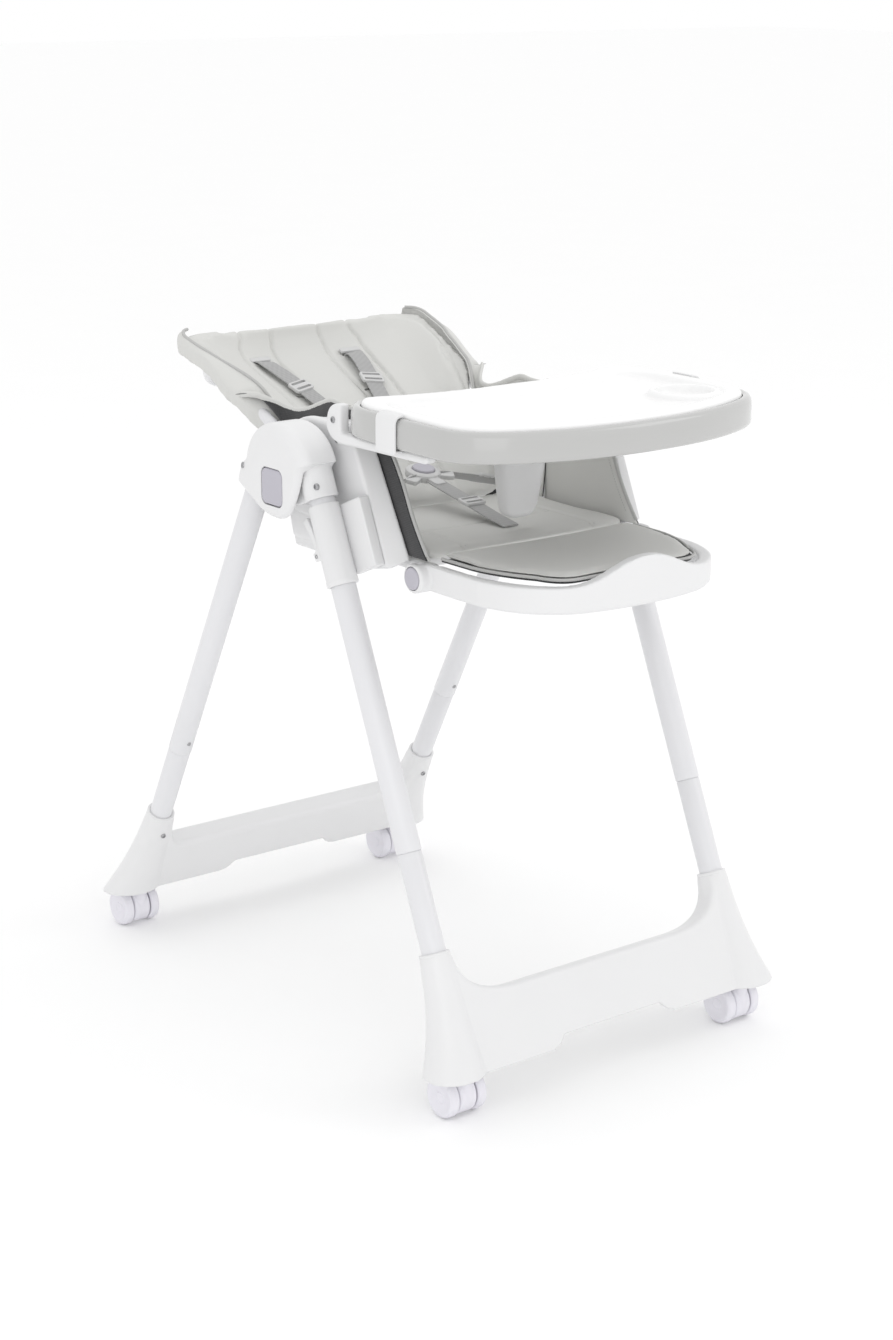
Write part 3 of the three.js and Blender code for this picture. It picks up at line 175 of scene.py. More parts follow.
def ellipse(rx: float, ry: float, cx: float = 0, cy: float = 0, sides: int = 40) -> Flat:
    """An oval loop about a centre."""
    turns = [2 * math.pi * i / sides for i in range(sides)]
    return [Vector((cx + rx * math.cos(t), cy + ry * math.sin(t))) for t in turns]


def rounded(width: float, height: float, radius: float, cx: float = 0, cy: float = 0, steps: int = 6) -> Flat:
    """A rectangle with round corners about a centre."""
    w, h = width / 2 - radius, height / 2 - radius
    shape = Outline(cx + w + radius, cy + h)
    for x, y, start in ((w, h, 0), (-w, h, 90), (-w, -h, 180), (w, -h, 270)):
        shape.arc(cx + x, cy + y, radius, start, start + 90, steps)
    return shape.closed()


def on_x(points: Flat, x: float) -> Ring:
    """A loop in a side view, at a place across the chair."""
    return [Vector((x, p.x, p.y)) for p in points]


def on_y(points: Flat, y: float) -> Ring:
    """A loop in a front view, at a place along the chair."""
    return [Vector((p.x, y, p.y)) for p in points]


def on_z(points: Flat, z: float) -> Ring:
    """A loop in plan, at a height."""
    return [Vector((p.x, p.y, z)) for p in points]


def spline(points: Sequence[Vector], per_span: int) -> list[Vector]:
    """A smooth run through points, with a count of steps between each two."""
    made = []
    for i in range(len(points) - 1):
        a, b, c, d = (points[min(max(j, 0), len(points) - 1)] for j in (i - 1, i, i + 1, i + 2))
        for k in range(per_span):
            t = k / per_span
            bend = (a * 2 - b * 5 + c * 4 - d) * (t * t / 2)
            twist = (b * 3 - a - c * 3 + d) * (t**3 / 2)
            made.append(b + (c - a) * (t / 2) + bend + twist)
    return made + [points[-1].copy()]


class Shell:
    """Closed skins gathered into one mesh, in plan millimetres."""

    def __init__(self) -> None:
        """Starts with nothing."""
        self.points: list[Vector] = []
        self.faces: list[list[int]] = []
        self.marks: list[tuple[float, float]] = []

    def loft(self, rings: Sequence[Ring], closed: bool = False) -> "Shell":
        """Adds a skin through rings of equal count.

        Args:
            rings: The rings in order.
            closed: True if the last ring joins the first, so that there are no end caps.

        Returns:
            This shell.
        """
        start, count = len(self.points), len(rings[0])
        for ring in rings:
            self.points += ring
        spans = len(rings) if closed else len(rings) - 1
        for r in range(spans):
            here, there = start + r * count, start + ((r + 1) % len(rings)) * count
            for i in range(count):
                j = (i + 1) % count
                self.faces.append([here + i, here + j, there + j, there + i])
        if not closed:
            last = start + (len(rings) - 1) * count
            self.faces += [list(range(start, start + count))[::-1], list(range(last, last + count))]
        return self

    def slab(
        self, outline: Flat, place: Placing, start: float, end: float, round_start: float = 0,
        round_end: float = 0, steps: int = 5, narrow: Callable[[Flat, float], Flat] = inset,
    ) -> "Shell":
        """Adds a plate between two places along an axis, its edges rounded.

        Args:
            outline: The plate's outline.
            place: on_x, on_y or on_z.
            start: Where the plate starts.
            end: Where it ends.
            round_start: The radius of its first edge.
            round_end: The radius of its last edge.
            steps: How many steps each round edge has.
            narrow: How the outline shrinks along a round edge.

        Returns:
            This shell.
        """
        way = 1 if end > start else -1
        levels: list[tuple[float, float]] = []
        for i in range(steps if round_start else 0):
            angle = i / steps * math.pi / 2
            levels.append((round_start * (1 - math.sin(angle)),
                           start + way * round_start * (1 - math.cos(angle))))
        levels += [(0, start + way * round_start), (0, end - way * round_end)]
        for i in range(1, steps + 1 if round_end else 0):
            angle = i / steps * math.pi / 2
            levels.append((round_end * (1 - math.cos(angle)), end - way * round_end * (1 - math.sin(angle))))
        return self.loft([place(narrow(outline, depth) if depth else outline, at) for depth, at in levels])

    def turned(self, profile: Sequence[Sequence[float]], place: Matrix, sides: int = 48) -> "Shell":
        """Adds a body of [radius, height] points turned about Z, then placed.

        Args:
            profile: Points from the axis back to the axis, or a ring's whole section.
            place: Where the body goes.
            sides: How many sides it has.

        Returns:
            This shell.
        """
        hollow = all(radius > 0 for radius, _ in profile)
        rings: list[Ring] = []
        for radius, height in profile:
            size = max(radius, 1e-3)
            rings.append([place @ Vector((p.x, p.y, height)) for p in ellipse(size, size, sides=sides)])
        return self.loft(rings, closed=hollow)

    def tube(self, route: Sequence[Vector], radius: float, sides: int = 16) -> "Shell":
        """Adds a round bar along a route.

        Args:
            route: The points of its middle line.
            radius: Its radius.
            sides: How many sides it has.

        Returns:
            This shell.
        """
        rings, side = [], None
        for i, point in enumerate(route):
            ahead = (route[min(i + 1, len(route) - 1)] - route[max(i - 1, 0)]).normalized()
            if side is None:
                side = ahead.orthogonal().normalized()
            side = (side - ahead * side.dot(ahead)).normalized()
            up = ahead.cross(side)
            rings.append([point + side * p.x + up * p.y for p in ellipse(radius, radius, sides=sides)])
        return self.loft(rings)

    def strap(self, route: Sequence[Vector], across: Vector, width: float, thick: float) -> "Shell":
        """Adds a flat strap along a route, with its length and width marked for the webbing's pattern."""
        rings, run, runs = [], 0.0, []
        for i, point in enumerate(route):
            ahead = (route[min(i + 1, len(route) - 1)] - route[max(i - 1, 0)]).normalized()
            side = (across - ahead * across.dot(ahead)).normalized() * (width / 2)
            up = side.cross(ahead).normalized() * (thick / 2)
            run += (point - route[i - 1]).length if i else 0
            runs.append(run)
            edge = side * 0.94
            rings.append([
                point + side, point + edge + up, point - edge + up, point - side, point - edge - up,
                point + edge - up,
            ])
        self.marks += [(run * MM, mark * width * MM) for run in runs
                       for mark in (1, 0.97, 0.03, 0, 0.03, 0.97)]
        return self.loft(rings)

    def add(self, other: "Shell") -> "Shell":
        """Adds another shell's skins."""
        count = len(self.points)
        self.points += other.points
        self.faces += [[i + count for i in face] for face in other.faces]
        return self

    def mirror(self) -> "Shell":
        """The shell and its mirror image across the chair, together."""
        count = len(self.points)
        self.points += [Vector((-p.x, p.y, p.z)) for p in self.points]
        self.faces += [[i + count for i in face][::-1] for face in self.faces[:]]
        return self

    def moved(self, matrix: Matrix) -> "Shell":
        """The shell moved by a matrix."""
        self.points = [matrix @ p for p in self.points]
        return self

    def piece(self, name: str, look: "Look", body: str, *nodes: str, angle: float = 40) -> bpy.types.Object:
        """The shell as a finished piece.

        Args:
            name: The piece's name.
            look: Its finish.
            body: The CAD body that it rides on.
            *nodes: The CAD nodes that it stands for.
            angle: The angle in degrees over which its edges stay sharp.

        Returns:
            The piece.
        """
        return finish(shade(self.build(name), angle), look, body, *nodes)

    def build(self, name: str) -> bpy.types.Object:
        """The shell as an object in the frame, with its faces pointing out."""
        mesh = bpy.data.meshes.new(name)
        mesh.from_pydata([to_metres(p) for p in self.points], [], self.faces)
        if len(self.marks) == len(self.points):
            layer = mesh.uv_layers.new(name="run")
            for loop in mesh.loops:
                layer.data[loop.index].uv = self.marks[loop.vertex_index]
        work = bmesh.new()
        work.from_mesh(mesh)
        bmesh.ops.remove_doubles(work, verts=work.verts, dist=2e-6)
        bmesh.ops.recalc_face_normals(work, faces=work.faces)
        work.to_mesh(mesh)
        work.free()
        obj = bpy.data.objects.new(name, mesh)
        bpy.context.scene.collection.objects.link(obj)
        return obj


def settle(obj: bpy.types.Object) -> bpy.types.Object:
    """Turns an object and its modifiers into its plain mesh."""
    graph = bpy.context.evaluated_depsgraph_get()
    graph.update()
    mesh = bpy.data.meshes.new_from_object(obj.evaluated_get(graph))
    obj.modifiers.clear()
    obj.data = mesh
    return obj


def shade(obj: bpy.types.Object, angle: float = 38) -> bpy.types.Object:
    """Smooth shading with sharp edges over an angle in degrees."""
    obj.data.shade_smooth()
    obj.data.set_sharp_from_angle(angle=math.radians(angle))
    return obj


def combined(body: bpy.types.Object, operation: str, tool: bpy.types.Object) -> bpy.types.Object:
    """A body joined with a tool, cut by it, or cut down to what both share. The tool is used up."""
    step = body.modifiers.new("step", "BOOLEAN")
    step.operation, step.object, step.solver = operation, tool, "MANIFOLD"
    settle(body)
    bpy.data.objects.remove(tool)
    return body


def remeshed(obj: bpy.types.Object, cell: float, soften: int = 0) -> bpy.types.Object:
    """Rebuilds a body's surface in even cells of a size in millimetres, then smooths it some times."""
    cells = obj.modifiers.new("cells", "REMESH")
    cells.mode, cells.voxel_size = "VOXEL", cell * MM
    if soften:
        ease = obj.modifiers.new("ease", "SMOOTH")
        ease.factor, ease.iterations = 0.5, soften
    return settle(obj)


def carved(name: str, adds: Sequence[Shell], cuts: Sequence[Shell] = ()) -> bpy.types.Object:
    """Joins closed shells into one body and takes others away from it.

    Args:
        name: The piece's name.
        adds: The shells to join. The first is the base.
        cuts: The shells to take away.

    Returns:
        The body.
    """
    body = adds[0].build(name)
    for operation, tools in (("UNION", adds[1:]), ("DIFFERENCE", cuts)):
        for tool in tools:
            combined(body, operation, tool.build(f"{name}_tool"))
    return body


def moulded(
    name: str, adds: Sequence[Shell], cuts: Sequence[Shell] = (), voxel: float = 1.8, soften: int = 6,
) -> bpy.types.Object:
    """A moulded body, with a small round on every edge and a fillet where shells meet.

    Args:
        name: The piece's name.
        adds: The shells to join.
        cuts: The shells to take away.
        voxel: The size of its surface's cells, in millimetres.
        soften: How many times the surface is smoothed.

    Returns:
        The body.
    """
    body = remeshed(carved(name, adds, cuts), voxel, soften)
    body.data.shade_smooth()
    return body


def displaced(obj: bpy.types.Object, move: Callable[[Vector, Vector], Vector]) -> bpy.types.Object:
    """Moves each point of a mesh by a function of its plan place and normal, in millimetres."""
    obj.data.update()
    shifts = [move(to_plan(v.co), v.normal) for v in obj.data.vertices]
    for vertex, shift in zip(obj.data.vertices, shifts):
        vertex.co += shift * MM
    obj.data.update()
    return obj


# ---- Node graphs ---------------------------------------------------------------------------


class Signal:
    """A number that varies over a surface: one output socket, with arithmetic."""

    def __init__(self, graph: "Graph", socket: Any) -> None:
        """Wraps a socket of a graph."""
        self.graph, self.socket = graph, socket

    def _math(self, operation: str, first: Any, second: Any) -> "Signal":
        """Adds a Math node for two values."""
        return self.graph.node("ShaderNodeMath", {"operation": operation}, {0: first, 1: second})

    def __add__(self, other: Any) -> "Signal":
        """This plus a value."""
        return self._math("ADD", self, other)

    def __radd__(self, other: Any) -> "Signal":
        """A value plus this."""
        return self._math("ADD", other, self)

    def __sub__(self, other: Any) -> "Signal":
        """This less a value."""
        return self._math("SUBTRACT", self, other)

    def __rsub__(self, other: Any) -> "Signal":
        """A value less this."""
        return self._math("SUBTRACT", other, self)

    def __mul__(self, other: Any) -> "Signal":
        """This times a value."""
        return self._math("MULTIPLY", self, other)

    def __rmul__(self, other: Any) -> "Signal":
        """A value times this."""
        return self._math("MULTIPLY", other, self)


class Graph:
    """A node tree that is written as expressions."""

    def __init__(self, tree: bpy.types.NodeTree) -> None:
        """Works on a tree."""
        self.tree = tree

    def node(self, kind: str, settings: dict[str, Any] | None = None, sockets: dict[Any, Any] | None = None,
             output: Any = 0) -> Signal:
        """Adds a node.

        Args:
            kind: Its Blender type.
            settings: Its properties, set first. A ramp's stops are under "stops".
            sockets: Values or signals for its input sockets, by name or place.
            output: The output to return, by name or place.

        Returns:
            The output as a signal.
        """
        made = self.tree.nodes.new(kind)
        for key, value in (settings or {}).items():
            if key == "stops":
                ramp = made.color_ramp
                for element, (at, level) in zip([ramp.elements[0], ramp.elements[1]], value):
                    element.position, element.color = at, (level, level, level, 1)
                for at, level in value[2:]:
                    ramp.elements.new(at).color = (level, level, level, 1)
            else:
                setattr(made, key, value)
        for key, value in (sockets or {}).items():
            if isinstance(value, Signal):
                self.tree.links.new(value.socket, made.inputs[key])
            else:
                made.inputs[key].default_value = value
        return Signal(self, made.outputs[output])

    def place(self) -> Signal:
        """The place on the piece, in metres."""
        return self.node("ShaderNodeTexCoord", output="Object")

    def noise(self, scale: float, detail: float = 2, roughness: float = 0.5,
              at: Signal | None = None) -> Signal:
        """Soft random variation, about 0.5, with a number of cells per metre."""
        sockets = {"Vector": at or self.place(), "Scale": scale, "Detail": detail, "Roughness": roughness}
        return self.node("ShaderNodeTexNoise", {"noise_dimensions": "3D"}, sockets, "Fac")

    def mix(self, factor: Any, first: Any, second: Any) -> Signal:
        """A colour between two."""
        return self.node("ShaderNodeMix", {"data_type": "RGBA"}, {0: factor, 6: first, 7: second}, 2)

    def bump(self, height: Signal, strength: float, distance: float) -> Signal:
        """A normal from a height, with its depth in metres."""
        return self.node("ShaderNodeBump", None,
                         {"Height": height, "Strength": strength, "Distance": distance})


Colour = tuple[float, float, float]


def tone(colour: Colour, share: float) -> tuple[float, float, float, float]:
    """A colour times a share, with full alpha."""
    return (*(min(1.0, c * share) for c in colour), 1.0)


@dataclass(frozen=True)
class Finish:
    """What every finish has."""

    name: str
    colour: Colour
    roughness: float

    def pattern(self, graph: Graph) -> tuple[Signal, Signal, Signal]:
        """The colour, roughness and normal over the surface."""
        raise NotImplementedError

    def constants(self) -> dict[str, float]:
        """The shader's values that are the same all over."""
        return {}

    def material(self) -> bpy.types.Material:
        """The finish as a Blender material, made once."""
        if self.name in bpy.data.materials:
            return bpy.data.materials[self.name]
        made = bpy.data.materials.new(self.name)
        made.use_nodes = True
        graph = Graph(made.node_tree)
        shader = made.node_tree.nodes["Principled BSDF"]
        for key, value in self.constants().items():
            shader.inputs[key].default_value = value
        made.diffuse_color = tone(self.colour, 1)
        for key, signal in zip(("Base Color", "Roughness", "Normal"), self.pattern(graph)):
            made.node_tree.links.new(signal.socket, shader.inputs[key])
        return made


@dataclass(frozen=True)
class Moulding(Finish):
    """Moulded plastic: a fine grain, faint flow clouds and handling haze."""

    grain: float = 900
    depth: float = 0.06
    coat: float = 0.0

    def constants(self) -> dict[str, float]:
        """A clear coat where the plastic is polished."""
        return {"Coat Weight": self.coat, "Coat Roughness": 0.08, "IOR": 1.49}

    def pattern(self, graph: Graph) -> tuple[Signal, Signal, Signal]:
        """Cloudy colour, uneven gloss and an orange-peel grain."""
        clouds = graph.noise(14, 3)
        haze = graph.noise(55, 4, 0.6)
        colour = graph.mix(clouds, tone(self.colour, 0.985), tone(self.colour, 1.012))
        gloss = self.roughness - 0.03 + haze * 0.06
        peel = graph.noise(self.grain, 2) + graph.noise(self.grain * 0.12, 2) * 0.5
        return colour, gloss, graph.bump(peel, self.depth, 0.0004)


@dataclass(frozen=True)
class PowderCoat(Finish):
    """Painted steel tube: a soft satin skin with a slight ripple."""

    def constants(self) -> dict[str, float]:
        """A thin clear coat."""
        return {"Coat Weight": 0.25, "Coat Roughness": 0.15}

    def pattern(self, graph: Graph) -> tuple[Signal, Signal, Signal]:
        """Even colour, with ripple and fine specks in the height."""
        clouds = graph.noise(9, 2)
        colour = graph.mix(clouds, tone(self.colour, 0.99), tone(self.colour, 1.01))
        ripple = graph.noise(160, 2) + graph.noise(1400, 1) * 0.35
        return colour, self.roughness + graph.noise(40, 3) * 0.05, graph.bump(ripple, 0.05, 0.0004)


@dataclass(frozen=True)
class Leatherette(Finish):
    """Coated fabric: a pebbled grain with fine creases and a soft sheen."""

    def constants(self) -> dict[str, float]:
        """The coating's sheen."""
        return {"Sheen Weight": 0.12, "Sheen Roughness": 0.4, "Specular IOR Level": 0.42}

    def pattern(self, graph: Graph) -> tuple[Signal, Signal, Signal]:
        """Cells with painted shade in their valleys, and slow waves from handling."""
        at = graph.place()
        cells = graph.node("ShaderNodeTexVoronoi", {"feature": "DISTANCE_TO_EDGE"},
                           {"Vector": at, "Scale": 620.0, "Randomness": 0.9}, "Distance")
        pebbles = graph.node("ShaderNodeValToRGB", {"stops": ((0.0, 0.0), (0.22, 1.0))}, {"Fac": cells},
                             "Color")
        pores = graph.noise(2400, 2, 0.6, at)
        waves = graph.noise(26, 3, 0.5, at)
        shade_of = graph.mix(waves, tone(self.colour, 0.965), tone(self.colour, 1.02))
        # The cells' valleys are mixed towards near-black: painted shade in the grain's crevices.
        colour = graph.mix(pebbles, graph.mix(0.07, shade_of, (0.1, 0.1, 0.1, 1)), shade_of)
        height = pebbles * 0.6 + pores * 0.3 + waves * 1.2
        return colour, self.roughness - 0.05 + pores * 0.1, graph.bump(height, 0.22, 0.0006)


@dataclass(frozen=True)
class Weave(Finish):
    """Plain woven cloth: crossing threads about a millimetre apart."""

    threads: float = 900

    def constants(self) -> dict[str, float]:
        """The cloth's fuzz."""
        return {"Sheen Weight": 0.3, "Sheen Roughness": 0.6, "Specular IOR Level": 0.25}

    def pattern(self, graph: Graph) -> tuple[Signal, Signal, Signal]:
        """Threads both ways, uneven in tone."""
        at = graph.place()
        waves = [
            graph.node("ShaderNodeTexWave",
                       {"wave_type": "BANDS", "bands_direction": way, "wave_profile": "SIN"},
                       {"Vector": at, "Scale": self.threads / 6.2832, "Distortion": 0.6, "Detail": 1.0},
                       "Fac")
            for way in ("Y", "Z")
        ]
        cloth = waves[0] * waves[1]
        uneven = graph.noise(300, 3, 0.6, at)
        colour = graph.mix(cloth * 0.6 + uneven * 0.4, tone(self.colour, 0.7), tone(self.colour, 1.35))
        return colour, self.roughness - 0.05 + uneven * 0.1, graph.bump(cloth + uneven * 0.3, 0.5, 0.0005)


@dataclass(frozen=True)
class Webbing(Finish):
    """Harness webbing: ribs across the strap and a thicker edge, on the strap's own length and width."""

    ribs: float = 620

    def constants(self) -> dict[str, float]:
        """The nylon's sheen."""
        return {"Sheen Weight": 0.2, "Sheen Roughness": 0.5}

    def pattern(self, graph: Graph) -> tuple[Signal, Signal, Signal]:
        """A twill of ribs that lean against each other."""
        at = graph.node("ShaderNodeUVMap", {"uv_map": "run"})
        ways = [
            graph.node("ShaderNodeTexWave", {"wave_type": "BANDS", "bands_direction": way},
                       {"Vector": at, "Scale": scale / 6.2832, "Distortion": 0.2}, "Fac")
            for way, scale in (("X", self.ribs), ("DIAGONAL", self.ribs * 0.7))
        ]
        ribs = ways[0] * 0.7 + ways[1] * 0.3
        fluff = graph.noise(800, 2)
        colour = graph.mix(ribs * 0.7 + fluff * 0.3, tone(self.colour, 0.8), tone(self.colour, 1.1))
        return colour, self.roughness - 0.05 + fluff * 0.1, graph.bump(ribs, 0.6, 0.0006)


@dataclass(frozen=True)
class PlatedSteel(Finish):
    """Zinc-plated steel: fine turning marks and small stains."""

    def constants(self) -> dict[str, float]:
        """Bare metal."""
        return {"Metallic": 1.0}

    def pattern(self, graph: Graph) -> tuple[Signal, Signal, Signal]:
        """Spangled tone and fine marks."""
        spangle = graph.noise(500, 3)
        colour = graph.mix(spangle, tone(self.colour, 0.8), tone(self.colour, 1.1))
        return colour, self.roughness - 0.08 + spangle * 0.16, graph.bump(graph.noise(1800, 2), 0.1, 0.0003)


class Look(Enum):
    """The chair's finishes and one painted shade, each with the record's material slot that it belongs to."""

    WHITE = ("white_plastic", Moulding("shell_white", (0.765, 0.765, 0.77), 0.34))
    TUBE = ("white_tube", PowderCoat("tube_white", (0.74, 0.74, 0.757), 0.3))
    RIM = ("tray_grey", Moulding("rim_grey", (0.48, 0.48, 0.473), 0.16, 500, 0.04, 0.6))
    INSERT = ("insert_white", Moulding("insert_white", (0.60, 0.60, 0.605), 0.42, 500, 0.03, 0.05))
    BUTTON = ("button_grey", Moulding("button_grey", (0.47, 0.46, 0.51), 0.42, 1600, 0.2))
    CASTER = ("caster_grey", Moulding("caster_grey", (0.70, 0.69, 0.735), 0.36))
    LEATHER = ("seat_leather", Leatherette("seat_leather", (0.5, 0.5, 0.492), 0.52))
    PIPING = ("seat_leather", Leatherette("seat_piping", (0.49, 0.49, 0.48), 0.5))
    THREAD = ("seat_leather", Weave("seat_thread", (0.50, 0.50, 0.495), 0.7, 2600))
    CHARCOAL = ("charcoal_fabric", Weave("charcoal_cloth", (0.042, 0.042, 0.044), 0.85))
    WEBBING = ("webbing", Webbing("webbing_grey", (0.40, 0.40, 0.40), 0.75))
    SLIDER = ("button_grey", Moulding("slider_grey", (0.60, 0.60, 0.60), 0.35))
    STEEL = ("hinge_steel", PlatedSteel("plated_steel", (0.42, 0.42, 0.43), 0.35))
    # Near-black painted shade: it colours the floor of each fold button's well, where shade falls round the
    # button.
    DARK = ("button_grey", Moulding("groove_dark", (0.12, 0.12, 0.13), 0.6))

    @property
    def slot(self) -> str:
        """The record's material slot."""
        return self.value[0]

    @property
    def material(self) -> bpy.types.Material:
        """The Blender material."""
        return self.value[1].material()


def finish(obj: bpy.types.Object, look: Look, body: str, *nodes: str) -> bpy.types.Object:
    """Dresses a piece and puts it on its body.

    Args:
        obj: The piece.
        look: Its finish.
        body: The CAD body that it rides on, or nothing where it bends between the seat and the back.
        *nodes: The CAD nodes that it stands for.

    Returns:
        The piece.
    """
    obj.data.materials.clear()
    obj.data.materials.append(look.material)
    for polygon in obj.data.polygons:
        polygon.material_index = 0
    if body:
        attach(obj, body)
    else:
        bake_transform(obj)
    if nodes:
        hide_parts(*nodes)
    look.slot
    log.info("%s rides on %s", obj.name, body or "two bodies")
    return obj


# ---- Repeats, by Geometry Nodes --------------------------------------------------------------


class Recipe(Graph):
    """A Geometry Nodes tree with named inputs."""

    def __init__(self, name: str, inputs: dict[str, tuple[str, Any]]) -> None:
        """Starts a tree.

        Args:
            name: The tree's name.
            inputs: Each input's socket type and starting value, by name.
        """
        super().__init__(bpy.data.node_groups.new(name, "GeometryNodeTree"))
        face = self.tree.interface
        face.new_socket("Geometry", in_out="INPUT", socket_type="NodeSocketGeometry")
        for key, (kind, value) in inputs.items():
            socket = face.new_socket(key, in_out="INPUT", socket_type=kind)
            if value is not None:
                socket.default_value = value
        face.new_socket("Geometry", in_out="OUTPUT", socket_type="NodeSocketGeometry")
        self.start = self.tree.nodes.new("NodeGroupInput")

    def given(self, name: str) -> Signal:
        """One of the tree's inputs."""
        return Signal(self, self.start.outputs[name])

    def end(self, geometry: Signal) -> "Recipe":
        """Ends the tree in real geometry with its material set."""
        real = self.node("GeometryNodeRealizeInstances", None, {0: geometry})
        dressed = self.node("GeometryNodeSetMaterial", None,
                            {"Geometry": real, "Material": self.given("Material")})
        out = self.tree.nodes.new("NodeGroupOutput")
        self.tree.links.new(dressed.socket, out.inputs[0])
        return self

    def grow(self, base: bpy.types.Object, **values: Any) -> bpy.types.Object:
        """Runs the tree on an object, which becomes the plain result.

        Args:
            base: The object that holds the points or edges to work from.
            **values: The tree's inputs, by name.

        Returns:
            The object, with the result as its mesh.
        """
        run = base.modifiers.new("recipe", "NODES")
        run.node_group = self.tree
        for item in self.tree.interface.items_tree:
            if item.in_out == "INPUT" and item.name in values:
                run[item.identifier] = values[item.name]
        return settle(base)


def scatter_recipe() -> Recipe:
    """Copies of a small part at points, each facing the way its point says."""
    recipe = Recipe("parts_at_points", {
        "Part": ("NodeSocketObject", None), "Scale": ("NodeSocketFloat", 1.0),
        "Material": ("NodeSocketMaterial", None),
    })
    facing = recipe.node("GeometryNodeInputNamedAttribute", {"data_type": "FLOAT_VECTOR"}, {"Name": "facing"})
    turn = recipe.node("FunctionNodeAlignRotationToVector", {"axis": "Z"}, {"Vector": facing})
    part = recipe.node("GeometryNodeObjectInfo", None, {"Object": recipe.given("Part")}, "Geometry")
    return recipe.end(recipe.node("GeometryNodeInstanceOnPoints", None, {
        "Points": recipe.given("Geometry"), "Instance": part, "Rotation": turn,
        "Scale": recipe.given("Scale"),
    }))


def stitch_recipe() -> Recipe:
    """Stitches in a row along edges."""
    recipe = Recipe("stitches_along_edges", {
        "Part": ("NodeSocketObject", None), "Pitch": ("NodeSocketFloat", 0.004),
        "Material": ("NodeSocketMaterial", None),
    })
    path = recipe.node("GeometryNodeMeshToCurve", None, {0: recipe.given("Geometry")})
    stops = recipe.node("GeometryNodeResampleCurve", {"mode": "LENGTH"}, {
        "Curve": path, "Length": recipe.given("Pitch")})
    ahead = recipe.node("GeometryNodeInputTangent")
    turn = recipe.node("FunctionNodeAlignRotationToVector", {"axis": "Z"}, {"Vector": ahead})
    part = recipe.node("GeometryNodeObjectInfo", None, {"Object": recipe.given("Part")}, "Geometry")
    return recipe.end(recipe.node("GeometryNodeInstanceOnPoints", None, {
        "Points": stops, "Instance": part, "Rotation": turn}))


def piping_recipe() -> Recipe:
    """A round cord along edges, such as a seam's piping."""
    recipe = Recipe("cord_along_edges", {
        "Radius": ("NodeSocketFloat", 0.002), "Material": ("NodeSocketMaterial", None),
    })
    path = recipe.node("GeometryNodeMeshToCurve", None, {0: recipe.given("Geometry")})
    even_path = recipe.node("GeometryNodeResampleCurve", {"mode": "LENGTH"}, {"Curve": path, "Length": 0.003})
    section = recipe.node("GeometryNodeCurvePrimitiveCircle", {"mode": "RADIUS"}, {
        "Resolution": 10, "Radius": recipe.given("Radius")}, "Curve")
    cord = recipe.node("GeometryNodeCurveToMesh", None, {
        "Curve": even_path, "Profile Curve": section, "Fill Caps": True})
    return recipe.end(recipe.node("GeometryNodeSetShadeSmooth", None, {0: cord}))


class Trim:
    """Small parts that repeat over the chair: screws, snap buttons, stitches and piping."""

    def __init__(self) -> None:
        """Builds the recipes and the small parts that they copy."""
        self.scatter, self.stitch, self.pipe = scatter_recipe(), stitch_recipe(), piping_recipe()
        level = Matrix.Identity(4)
        head = Shell().turned([(0, -2), (3.6, -2), (3.6, 0.7), (3.2, 1.3), (2.1, 1.5), (1.9, 0.5),
                               (0, 0.4)], level, 20)
        snap = Shell().turned([(0, -2), (3.1, -2), (3.1, 1.4), (2.6, 2.3), (1.4, 2.9), (0, 3.0)], level, 18)
        thread = Shell().turned([(0, -1.25), (0.38, -0.8), (0.45, 0), (0.38, 0.8), (0, 1.25)], level, 6)
        shells = {"head": head, "snap": snap, "thread": thread}
        self.parts = {name: self._part(shell, name) for name, shell in shells.items()}

    @staticmethod
    def _part(shell: Shell, name: str) -> bpy.types.Object:
        """A small part about the origin, for a recipe to copy."""
        part = shell.build(f"{name}_part")
        part.data.transform(Matrix.Translation((0, -PLAN_SHIFT, 0)))
        return shade(part, 40)

    def at_points(self, name: str, part: str, places: Sequence[tuple[Vector, Vector]], look: Look, body: str,
                  scale: float = 1) -> bpy.types.Object:
        """Puts copies of a part at places.

        Args:
            name: The piece's name.
            part: "head" or "snap".
            places: Each copy's point and the way that it faces.
            look: Its finish.
            body: The body that it rides on.
            scale: Its size.

        Returns:
            The piece.
        """
        mesh = bpy.data.meshes.new(name)
        mesh.from_pydata([to_metres(point) for point, _ in places], [], [])
        layer = mesh.attributes.new("facing", "FLOAT_VECTOR", "POINT")
        for item, (_, way) in zip(layer.data, places):
            item.vector = way
        obj = bpy.data.objects.new(name, mesh)
        bpy.context.scene.collection.objects.link(obj)
        self.scatter.grow(obj, Part=self.parts[part], Scale=scale, Material=look.material)
        return finish(obj, look, body)

    @staticmethod
    def _path(name: str, routes: Sequence[Sequence[Vector]]) -> bpy.types.Object:
        """An object with only edges along routes."""
        mesh = bpy.data.meshes.new(name)
        points = [to_metres(p) for route in routes for p in route]
        edges, start = [], 0
        for route in routes:
            edges += [(start + i, start + i + 1) for i in range(len(route) - 1)]
            start += len(route)
        mesh.from_pydata(points, edges, [])
        obj = bpy.data.objects.new(name, mesh)
        bpy.context.scene.collection.objects.link(obj)
        return obj

    def stitches(self, name: str, routes: Sequence[Sequence[Vector]], body: str, look: Look = Look.THREAD,
                 pitch: float = 3.6) -> bpy.types.Object:
        """Stitches along routes."""
        obj = self._path(name, routes)
        self.stitch.grow(obj, Part=self.parts["thread"], Pitch=pitch * MM, Material=look.material)
        return finish(obj, look, body)

    def piping(self, name: str, routes: Sequence[Sequence[Vector]], radius: float, look: Look,
               body: str) -> bpy.types.Object:
        """A cord along routes."""
        obj = self._path(name, routes)
        self.pipe.grow(obj, Radius=radius * MM, Material=look.material)
        return finish(obj, look, body)

    def clear(self) -> None:
        """Removes the small parts that the recipes copied."""
        for part in self.parts.values():
            bpy.data.objects.remove(part)


